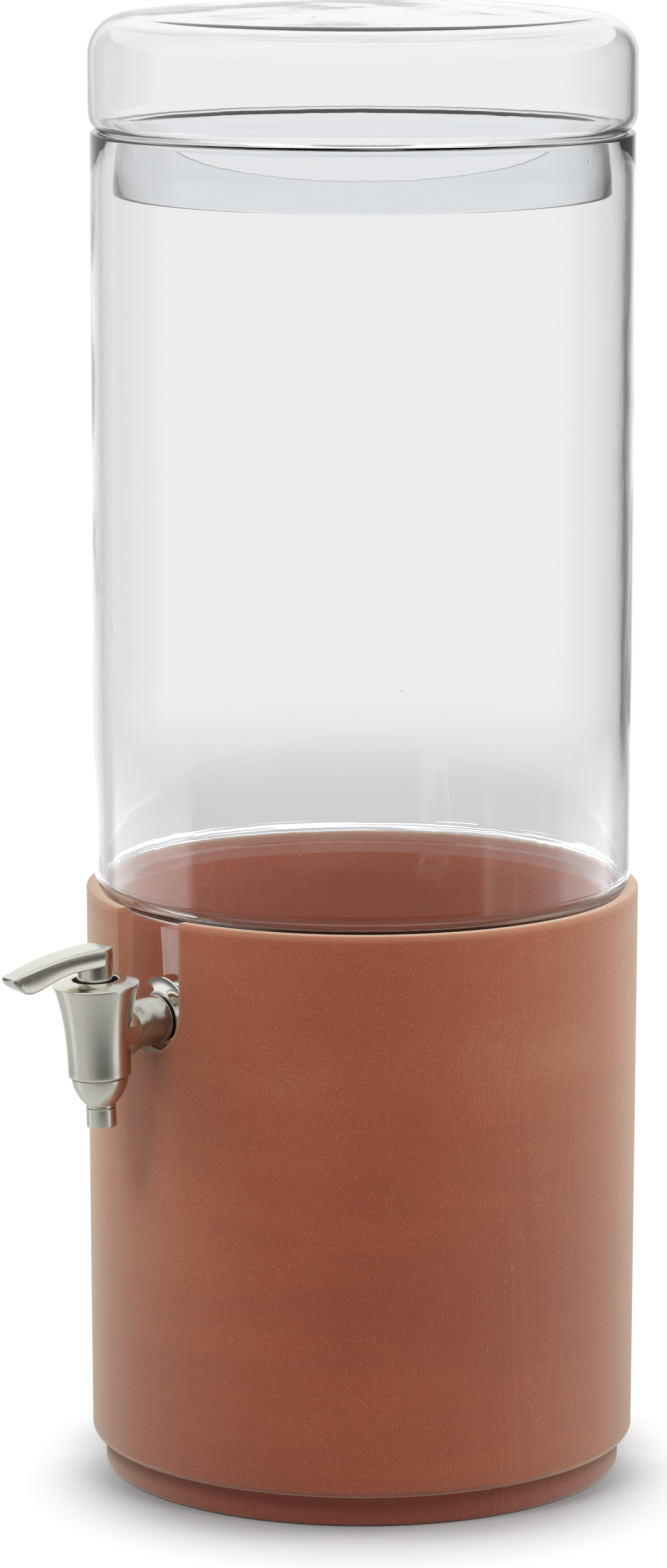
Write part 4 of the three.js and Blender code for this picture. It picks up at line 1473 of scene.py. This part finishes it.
@dataclass
class Valve:
    """What is inside the barrel: bush, rod, spring and the seals."""

    tap: Tap
    bush_thickness: float = 7.3
    bush_chamfer: float = 0.6
    stem_seal: float = 1.6
    rod_radius: float = 2.0
    eye_radius: float = 3.0
    eye_thickness: float = 3.6
    eye_edge: float = 0.3
    pin_height: float = 3.5
    pin_radius: float = 1.2
    collar_radius: float = 3.2
    collar_thickness: float = 1.5
    spring_seat: tuple[float, float] = (5.8, 1.2)  # radius and thickness
    seat_edge: float = 0.2
    spring_length: float = 15.6
    spring_radius: float = 4.4
    wire_radius: float = 0.45
    wire_sides: int = 12
    spring_turns: int = 7
    turn_steps: int = 36
    lift: float = 2.37
    valve_radius: float = 6.2
    valve_height: float = 5.0
    valve_edge: float = 1.2
    button: tuple[float, float] = (3.4, 1.4)
    button_height: float = 1.8

    def __post_init__(self) -> None:
        """Works out the heights above the tube's axis."""
        self.bush_bottom = self.tap.ledge + SEAT_GAP
        self.bush_top = self.bush_bottom + self.bush_thickness
        self.boss_foot = self.bush_top + SEAT_GAP
        self.pin_axis = self.boss_foot + self.pin_height
        self.spring_top = self.bush_bottom - SEAT_GAP
        self.spring_bottom = self.spring_top - self.spring_length
        self.seat_top = self.spring_bottom - SEAT_GAP
        self.collar_top = self.seat_top - self.spring_seat[1] - SEAT_GAP
        self.bore = self.rod_radius + SLIDE_GAP
        self.pin_hole = self.pin_radius + SLIDE_GAP

    def bush(self) -> Piece:
        """Returns the bush that guides the rod, with a groove for its seal."""
        radius = self.tap.opening - SLIDE_GAP
        middle = self.bush_bottom + self.bush_thickness / 2
        half = self.stem_seal / 2 + SEAT_GAP
        groove = self.bore + self.stem_seal + SEAT_GAP
        outline = [
            (self.bore, self.bush_bottom),
            (radius, self.bush_bottom),
            (radius, self.bush_top - self.bush_chamfer),
            (radius - self.bush_chamfer, self.bush_top),
            (self.bore, self.bush_top),
            (self.bore, middle + half),
            (groove, middle + half),
            (groove, middle - half),
            (self.bore, middle - half),
        ]
        return smooth(turned("guide_bush_moulded", outline), 30)

    def ring(self) -> Piece:
        """Returns the ring that seals the rod in its bush."""
        section = self.stem_seal / 2
        centre = (self.bore + section, self.bush_bottom + self.bush_thickness / 2)
        return sealing_ring("stem_seal_ring", centre, section, SMALL_STEPS)

    def spring(self) -> Piece:
        """Returns the coil: one ring of wire wound up by a screw, with its ends closed."""
        deselect()
        bpy.ops.mesh.primitive_circle_add(
            vertices=self.wire_sides,
            radius=self.wire_radius * MM,
            location=Vector((self.spring_radius, 0, self.spring_bottom + self.wire_radius)) * MM,
            rotation=(math.pi / 2, 0, 0),
        )
        coil = apply_place(named(bpy.context.object, "return_spring_wound"))
        winding = coil.modifiers.new("winding", "SCREW")
        winding.axis = "Z"
        winding.steps = winding.render_steps = self.turn_steps
        winding.iterations = self.spring_turns
        winding.screw_offset = (self.spring_length - 2 * self.wire_radius) / self.spring_turns * MM
        winding.use_merge_vertices = False
        activate(coil)
        bpy.ops.object.modifier_apply(modifier=winding.name)
        bpy.ops.object.mode_set(mode="EDIT")
        bpy.ops.mesh.select_all(action="SELECT")
        bpy.ops.mesh.remove_doubles(threshold=WELD)
        bpy.ops.mesh.fill_holes(sides=self.wire_sides)
        bpy.ops.mesh.normals_make_consistent(inside=False)
        bpy.ops.object.mode_set(mode="OBJECT")
        return smooth(coil, 50)

    def rod(self) -> Piece:
        """Returns the rod with its eye, collar and button."""
        low = self.tap.valve_face + self.button_height
        top = low + self.button[1]
        collar_low = self.collar_top - self.collar_thickness
        outline = [
            (0, low),
            (self.button[0], low),
            (self.button[0], top),
            (self.rod_radius, top),
            (self.rod_radius, collar_low),
            (self.collar_radius, collar_low),
            (self.collar_radius, self.collar_top),
            (self.rod_radius, self.collar_top),
            (self.rod_radius, self.pin_axis),
            (0, self.pin_axis),
        ]
        rod = turned("plunger_rod_turned", outline, steps=SMALL_STEPS)
        width, height = self.eye_thickness, self.pin_axis
        eye = cross_bar("rod_eye", self.eye_radius, width, height, self.eye_edge)
        combine(rod, eye, "UNION")
        hole = cross_bar("rod_eye_hole", self.pin_hole, 3 * width, height)
        return smooth(combine(rod, hole, "DIFFERENCE"), 30)

    def washer(self) -> Piece:
        """Returns the washer under the spring."""
        radius, thickness = self.spring_seat
        low = self.seat_top - thickness
        outline = flat_ring(self.bore, radius, low, self.seat_top, self.seat_edge)
        return smooth(turned("spring_seat_turned", outline, steps=SMALL_STEPS), 30)

    def valve(self) -> Piece:
        """Returns the silicone seal that shuts the bowl's bore."""
        face = self.tap.valve_face
        top = face + self.valve_height
        floor = face + self.button_height - SEAT_GAP
        roof = floor + self.button[1] + 2 * SEAT_GAP
        hollow = self.button[0] + SEAT_GAP
        edge = self.valve_edge
        outline = [
            (0, face),
            *arc((self.valve_radius - edge, face + edge), edge, -90, 0, 6),
            (self.valve_radius, face + self.valve_height / 2),
            (self.valve_radius - edge, top),
            (self.bore, top),
            (self.bore, roof),
            (hollow, roof),
            (hollow, floor),
            (0, floor),
        ]
        return smooth(turned("valve_seal_moulded", outline, steps=SMALL_STEPS), 40)

    def build(self, finishes: Finishes) -> None:
        """Builds and dresses the pieces inside the barrel.

        Args:
            finishes: the finishes.
        """
        place = self.tap.seat.on_barrel
        finishes.dress(put(self.bush(), place), "plastic", "guide_bush", Body.VESSEL)
        finishes.dress(put(self.ring(), place), "rubber", "stem_seal", Body.VESSEL)
        spring = finishes.dress(put(self.spring(), place), "bright", "return_spring", Body.VESSEL)
        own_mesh(spring)
        finishes.dress(put(self.rod(), place), "bright", "plunger_rod", Body.PLUNGER)
        finishes.dress(put(self.washer(), place), "bright", "spring_seat", Body.PLUNGER)
        finishes.dress(put(self.valve(), place), "silicone", "valve_seal", Body.PLUNGER)


@dataclass
class Lever:
    """An arched arm that tapers from a round hub to a deep, chamfered tip, over a round boss."""

    valve: Valve
    reach: float = 42.0
    top: float = 34.5
    crest: float = 3.0
    top_radius: float = 138.0
    hub_radius: float = 7.2
    tip_width: float = 8.2
    tip_thickness: float = 1.2
    boss_radius: float = 7.1
    neck_thickness: float = 7.3
    pad_depth: float = 10.0
    swing: float = math.radians(20)
    back_radius: float = 2.0
    pin_inset: float = 0.9
    pin_edge: float = 0.25
    corner_share: float = 0.12  # how round the arm's section is
    least: float = 0.3  # the arm's smallest width and depth
    reach_shares: list[float] = field(
        default_factory=lambda: [0.33, 0.48, 0.62, 0.71, 0.8, 0.87, 0.945]
    )
    depth_shares: list[float] = field(
        default_factory=lambda: [0.74, 0.78, 0.89, 0.955, 0.94, 0.81, 0.51]
    )

    def top_at(self, s: float) -> float:
        """Works out the height of the arm's top.

        Args:
            s: distance from the barrel's axis.

        Returns:
            The height.
        """
        height = self.top - (s - self.crest) ** 2 / (2 * self.top_radius)
        back = self.back_radius - self.hub_radius
        if s < back:
            past = min(back - s, self.back_radius)
            height -= self.back_radius - other_leg(self.back_radius, past)
        return height

    def foot_at(self, s: float) -> float:
        """Works out the height of the arm's underside.

        Args:
            s: distance from the barrel's axis.

        Returns:
            The height.
        """
        knots = [(-self.hub_radius, self.top - self.neck_thickness)]
        for share, depth in zip(self.reach_shares, self.depth_shares):
            along = share * self.reach
            knots.append((along, self.top_at(along) - self.pad_depth * depth))
        knots.append((self.reach, self.top_at(self.reach) - self.tip_thickness))
        for (s0, z0), (s1, z1) in zip(knots, knots[1:]):
            if s <= s1:
                return z0 + (z1 - z0) * (s - s0) / (s1 - s0)
        return knots[-1][1]

    def half_width_at(self, s: float) -> float:
        """Works out half the arm's width.

        Args:
            s: distance from the barrel's axis.

        Returns:
            Half the width.
        """
        if s <= 0:
            return other_leg(self.hub_radius, min(-s, self.hub_radius))
        edge = self.tip_thickness
        corner = max(0.0, s - (self.reach - edge))
        taper = self.hub_radius + (self.tip_width / 2 - self.hub_radius) * s / self.reach
        return taper - (edge - other_leg(edge, min(corner, edge)))

    def stations(self) -> list[float]:
        """Returns the distances from the barrel's axis at which the arm is sized."""
        turns = [math.pi / 2 * i / CURVE_STEPS for i in range(CURVE_STEPS + 1)]
        hub = [-self.hub_radius * math.cos(turn) for turn in turns]
        hub[0] = -self.hub_radius + 0.02  # the hub's very back has no width
        middle = [self.reach * (i / 30) for i in range(1, 28)]
        tip = [self.reach - self.tip_thickness * share for share in (1.0, 0.55, 0.25, 0.08, 0.0)]
        return hub + middle + tip

    def arm(self) -> Piece:
        """Returns the arm: a rounded square extruded from hub to tip and sized at each step."""
        deselect()
        bpy.ops.mesh.primitive_plane_add(size=MM, rotation=(math.pi / 2, 0, 0))
        arm = apply_place(named(bpy.context.object, "lever_forged"))
        bpy.ops.object.mode_set(mode="EDIT")
        bpy.ops.mesh.select_all(action="SELECT")
        bpy.ops.mesh.bevel(offset=self.corner_share * MM, segments=6, affect="VERTICES")
        width = depth = 1.0
        spot = Vector((0, 0, 0))
        for i, s in enumerate(self.stations()):
            if i:
                bpy.ops.mesh.extrude_region_move(TRANSFORM_OT_translate={"value": (0, 0, 0)})
            wide = max(2 * self.half_width_at(s), self.least)
            high, low = self.top_at(s), self.foot_at(s)
            deep = max(high - low, self.least)
            goal = Vector((0, -s, (high + low) / 2)) * MM
            bpy.ops.transform.translate(value=goal - spot)
            bpy.ops.transform.resize(value=(wide / width, 1, deep / depth), center_override=goal)
            width, depth, spot = wide, deep, goal
        bpy.ops.mesh.select_all(action="SELECT")
        bpy.ops.mesh.remove_doubles(threshold=WELD)
        bpy.ops.mesh.normals_make_consistent(inside=False)
        bpy.ops.object.mode_set(mode="OBJECT")
        return arm

    def pocket(self) -> Piece:
        """Returns the cutting shape of the slot that the rod's eye goes up into."""
        valve = self.valve
        half = valve.rod_radius + valve.pin_height * math.tan(self.swing) + 2 * SLIDE_GAP
        high = valve.pin_axis + valve.eye_radius + SLIDE_GAP
        low = valve.boss_foot - OVERRUN
        return box("lever_pocket", (2 * valve.bore, 2 * half, high - low), (0, 0, (high + low) / 2))

    def build(self, finishes: Finishes) -> None:
        """Builds and dresses the lever and its pin.

        Args:
            finishes: the finishes.
        """
        valve = self.valve
        place = valve.tap.seat.on_barrel
        lever = self.arm()
        boss_top = self.top - self.neck_thickness / 2
        boss = bar("lever_boss", self.boss_radius, valve.boss_foot, boss_top)
        combine(lever, boss, "UNION")
        combine(lever, self.pocket(), "DIFFERENCE")
        hole = cross_bar("lever_hole", valve.pin_hole, 2 * self.hub_radius, valve.pin_axis)
        combine(lever, hole, "DIFFERENCE")
        finishes.dress(put(smooth(lever, 32), place), "arm", "lever", Body.LEVER)
        length = 2 * (self.boss_radius - self.pin_inset)
        pin = cross_bar("lever_pin_turned", valve.pin_radius, length, valve.pin_axis, self.pin_edge)
        finishes.dress(put(smooth(pin, 40), place), "bright", "lever_pin", Body.LEVER)


# The studio round the dispenser


@dataclass
class Studio:
    """A pale floor, a white world, soft lamps, a tent for reflections, and the camera.

    A ramp gives levels of light by direction, in degrees counted from the camera's. Lengths
    and heights are in metres.
    """

    azimuth: float = math.radians(50.3)
    distance: float = 2.5175
    height: float = 0.7267
    lens: float = 147.5
    yaw: float = 0.00456
    tilt: float = 0.17726
    ambient: float = 0.18
    lamp_distance: float = 1.9
    lamp_aim: float = 0.28  # height that the lamps face
    floor_size: float = 14.0
    shadow_shift: float = 0.04  # how much farther the floor's shadow reaches towards the camera
    shadow_reach: tuple[float, float] = (0.0765, 0.1327)
    # Painted shadow: the floor is painted a darker grey near the stand than farther off.
    shadow_paint_reach: tuple[float, float] = (0.085, 0.142)  # reach of the painted shadow
    shadow_paint_greys: tuple[float, float] = (0.24, 0.56)
    floor_behind: float = 1.7  # how light the floor is that is seen through glass
    tent_radius: float = 0.75
    tent_height: float = 0.8
    mat_edge: tuple[float, float] = (-0.05, 0.68)  # where steel's reflection of the floor darkens
    mat_level: float = 0.36
    # A ring of the floor glows only in sharp reflections: painted highlights on the glass.
    glint_reach: tuple[float, float, float, float] = (0.17, 0.2, 0.36, 0.46)  # painted highlights
    glint_level: float = 2.5
    steel_change: tuple[float, float] = (0.0, 0.03)  # heights between low and side shades
    sky_change: tuple[float, float] = (0.12, 0.3)  # heights between side shades and the sky
    sky_level: float = 0.52
    glass_change: tuple[float, float] = (0.13, 0.19)  # heights between low and high shades
    veil_level: float = 1.6  # how much brighter the low shades are that glass mirrors
    behind_level: float = 0.78  # how light the low part of the tent is that is seen through glass
    warm: Triple = (1.0, 0.965, 0.84)  # the tint of steel's darker bands
    steel_low: Ramp = (
        (-180, 1.6), (-150, 2.0), (-136, 1.3), (-122, 0.6), (-95, 0.62), (-82, 1.05),
        (-71, 0.66), (-52, 0.6), (-31, 0.42), (-12, 0.26), (0, 0.19), (18, 0.19),
        (31, 0.27), (42, 0.45), (50, 1.0), (78, 1.05), (88, 0.3), (94, 0.14),
        (112, 0.5), (125, 2.0), (160, 2.0), (180, 1.6),
    )
    steel_side: Ramp = (
        (-180, 1.6), (-150, 2.0), (-125, 0.6), (-112, 0.25), (-92, 0.18), (-78, 0.6),
        (-42, 0.65), (-15, 0.2), (0, 0.06), (28, 0.06), (40, 0.1), (55, 0.08),
        (82, 0.1), (94, 0.12), (112, 0.5), (125, 2.0), (160, 2.0), (180, 1.6),
    )
    glass_low: Ramp = (
        (-180, 0.9), (-150, 0.9), (-130, 0.3), (-122, 1.6), (-76, 1.8), (-70, 0.1),
        (47, 0.08), (51, 0.9), (57, 0.4), (70, 0.45), (84, 0.9), (92, 1.7),
        (118, 1.9), (132, 0.4), (146, 0.14), (165, 0.9), (180, 0.9),
    )
    glass_high: Ramp = (
        (-180, 1.0), (-160, 1.0), (-135, 0.6), (-90, 0.65), (-40, 0.6), (40, 0.6),
        (75, 0.7), (100, 0.3), (146, 0.24), (160, 1.0), (180, 1.0),
    )
    through: Ramp = (
        (-180, 1.0), (-160, 1.0), (-135, 0.6), (-125, 0.6), (-112, 0.9), (-60, 0.84),
        (60, 0.84), (108, 0.9), (120, 0.3), (146, 0.24), (160, 1.0), (180, 1.0),
    )

    def camera(self) -> None:
        """Adds the camera at the photograph's viewing angle."""
        deselect()
        away = self.distance
        place = (away * math.sin(self.azimuth), -away * math.cos(self.azimuth), self.height)
        turn = (math.pi / 2 - self.tilt, 0, self.azimuth + self.yaw)
        bpy.ops.object.camera_add(location=place, rotation=turn)
        camera = bpy.context.object
        camera.name = "camera"
        camera.data.lens = self.lens
        camera.data.sensor_width = 36.0
        camera.data.clip_end = 60.0
        bpy.context.scene.camera = camera

    def lamp(
        self, name: str, side: float, rise: float, size: tuple[float, float], power: float
    ) -> None:
        """Adds a soft lamp that faces the middle of the dispenser and that no reflection shows.

        Args:
            name: its name.
            side: its direction from the dispenser in degrees, counted from the camera's.
            rise: its angle above the horizon in degrees.
            size: its width and height in metres.
            power: its power in watts.
        """
        turn, up = self.azimuth + math.radians(side), math.radians(rise)
        aim = Vector((0, 0, self.lamp_aim))
        back = Vector((math.sin(turn) * math.cos(up), -math.cos(turn) * math.cos(up), math.sin(up)))
        deselect()
        bpy.ops.object.light_add(type="AREA", location=aim + back * self.lamp_distance)
        lamp = bpy.context.object
        lamp.name = name
        lamp.rotation_euler = back.to_track_quat("Z", "Y").to_euler()
        lamp.data.shape = "RECTANGLE"
        lamp.data.size, lamp.data.size_y = size
        lamp.data.energy = power
        lamp.visible_glossy = lamp.visible_transmission = False

    def make_shades(self) -> bpy.types.NodeTree:
        """Returns the group for how light the room is, by direction from the dispenser.

        Each output is half the level, because a ramp holds no more than 1.
        """
        ramps = {
            "Steel Low": self.steel_low,
            "Steel Side": self.steel_side,
            "Glass Low": self.glass_low,
            "Glass High": self.glass_high,
            "Through": self.through,
        }
        tree, start, end = new_group("room_shades", {"Vector": None}, list(ramps))
        n = Nodes(tree)
        facing = n.add("Mapping", Vector=start.outputs["Vector"], Rotation=(0, 0, -self.azimuth))
        split = n.add("SeparateXYZ", Vector=facing.outputs[0])
        back = n.times(split.outputs[1], -1.0)
        turn = n.math("ARCTAN2", split.outputs[0], back)
        share = n.plus(n.math("DIVIDE", turn, math.tau), 0.5)
        for key, stops in ramps.items():
            ramp = n.add("ValToRGB", Fac=share)
            ramp.color_ramp.interpolation = "EASE"
            elements = ramp.color_ramp.elements
            for i, (angle, level) in enumerate(stops):
                stop = elements[i] if i < 2 else elements.new(1.0)
                stop.position = angle / 360 + 0.5
                stop.color = grey(level / 2)
            tree.links.new(ramp.outputs["Color"], end.inputs[key])
        return tree

    def tent(self, shades: bpy.types.NodeTree) -> None:
        """Adds a round screen that only reflections and bent rays in glass show.

        It gives the steel, whose reflections are soft, its bands, and the glass its edges.

        Args:
            shades: the group for how light the room is.
        """
        deselect()
        bpy.ops.mesh.primitive_cylinder_add(
            vertices=96,
            radius=self.tent_radius,
            depth=self.tent_height,
            end_fill_type="NOTHING",
            location=(0, 0, self.tent_height / 2),
        )
        tent = apply_place(named(bpy.context.object, "light_tent"))
        material, n, shader, end = started("tent_cloth")
        n.tree.nodes.remove(shader)
        place = n.add("TexCoord").outputs["Object"]
        room = n.group(shades, Vector=place).outputs
        height = n.add("SeparateXYZ", Vector=place).outputs[2]
        path = n.add("LightPath").outputs
        steel = n.blend(n.span(height, *self.steel_change), room["Steel Low"], room["Steel Side"])
        steel = n.blend(n.span(steel, 0.1, 0.4), n.scaled(steel, self.warm), steel)
        steel = n.blend(n.span(height, *self.sky_change), steel, grey(self.sky_level))
        upper = n.span(height, *self.glass_change)
        veil = n.scaled(room["Glass Low"], (self.veil_level,) * 3)
        mirrored = n.blend(upper, veil, room["Glass High"])
        behind = n.blend(upper, grey(self.behind_level / 2), room["Through"])
        glass = n.blend(path["Is Transmission Ray"], mirrored, behind)
        level = n.blend(path["Is Singular Ray"], steel, glass)
        n.fill(end, Surface=n.add("Emission", Color=level, Strength=2.0).outputs[0])
        tent.data.materials.append(material)
        tent.visible_camera = tent.visible_diffuse = tent.visible_shadow = False

    def floor(self, shades: bpy.types.NodeTree) -> None:
        """Adds the floor, which holds the shadow near the dispenser and is white farther off.

        Args:
            shades: the group for how light the room is.
        """
        deselect()
        bpy.ops.mesh.primitive_plane_add(size=self.floor_size)
        floor = named(bpy.context.object, "studio_floor")
        material, n, shader, end = started("pale_floor")
        place = n.add("TexCoord").outputs["Object"]
        path = n.add("LightPath").outputs
        away = n.add("VectorMath", {"operation": "LENGTH"}, i0=place).outputs["Value"]
        facing = n.add("VectorMath", {"operation": "NORMALIZE"}, i0=place).outputs[0]
        forward = (math.sin(self.azimuth), -math.cos(self.azimuth), 0)
        front = n.add("VectorMath", {"operation": "DOT_PRODUCT"}, i0=facing, i1=forward)
        nearer = n.math("MAXIMUM", front.outputs["Value"], 0.0)
        around = n.math("SUBTRACT", away, n.times(nearer, self.shadow_shift))
        # painted shadow: a darker grey near the stand
        dark, light = [grey(level) for level in self.shadow_paint_greys]
        shadow_paint = n.blend(n.span(away, *self.shadow_paint_reach), dark, light)
        n.fill(shader, Base_Color=shadow_paint, Roughness=0.9, Specular_IOR_Level=0.0)
        room = n.group(shades, Vector=place).outputs["Steel Low"]
        mirrored = n.blend(n.span(away, *self.mat_edge), grey(self.mat_level), room)
        glossy, sharp = path["Is Glossy Ray"], path["Is Singular Ray"]
        soft = n.math("SUBTRACT", glossy, sharp, clamp=True)
        # painted highlights: a ring that glows only in sharp reflections
        near, full, wane, past = self.glint_reach
        ring = (n.span(away, near, full), n.span(away, wane, past, 1.0, 0.0))
        glint = n.times(*ring, glossy, sharp, self.glint_level)
        behind = n.span(path["Is Transmission Ray"], 0.0, 1.0, 2.0, self.floor_behind)
        strength = n.plus(glint, behind)
        glow = n.add("Emission", Color=n.blend(soft, grey(0.5), mirrored), Strength=strength)
        share = n.times(n.span(around, *self.shadow_reach), n.seen())
        both = n.add("MixShader", i0=share, i1=shader.outputs[0], i2=glow.outputs[0])
        n.fill(end, Surface=both.outputs[0])
        floor.data.materials.append(material)

    def world(self) -> None:
        """Makes a world that is seen white and lights softly."""
        world = bpy.data.worlds.new("studio_world")
        bpy.context.scene.world = world
        world.use_nodes = True
        n = Nodes(world.node_tree)
        strength = n.span(n.seen(), 0.0, 1.0, self.ambient, 1.0)
        n.fill(world.node_tree.nodes["Background"], Color=grey(1.0), Strength=strength)

    def build(self) -> None:
        """Builds the studio."""
        shades = self.make_shades()
        self.world()
        self.floor(shades)
        self.lamp("left_key", -40, 46, (0.6, 0.6), 21)
        self.lamp("right_key", 42, 46, (0.7, 0.7), 15.5)
        self.lamp("left_lamp", -98, 24, (0.9, 1.3), 15)
        self.lamp("right_lamp", 96, 22, (1.0, 1.5), 27)
        self.tent(shades)
        bpy.context.scene.view_settings.view_transform = "Standard"


def main() -> None:
    """Builds the dispenser and its studio in order."""
    logging.basicConfig(level=logging.INFO, format="%(message)s")
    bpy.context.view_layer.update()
    studio = Studio()
    studio.camera()
    stand = Stand()
    finishes = Finishes(stand)
    stand.build(finishes)
    vessel = Vessel(stand)
    seat = TapSeat(vessel)
    vessel.build(finishes, seat)
    Lid(vessel).build(finishes)
    fixings = Fixings(seat)
    fixings.build(finishes)
    tap = Tap(seat, fixings)
    tap.build(finishes)
    valve = Valve(tap)
    valve.build(finishes)
    Lever(valve).build(finishes)
    studio.build()


if __name__ == "__main__":
    main()
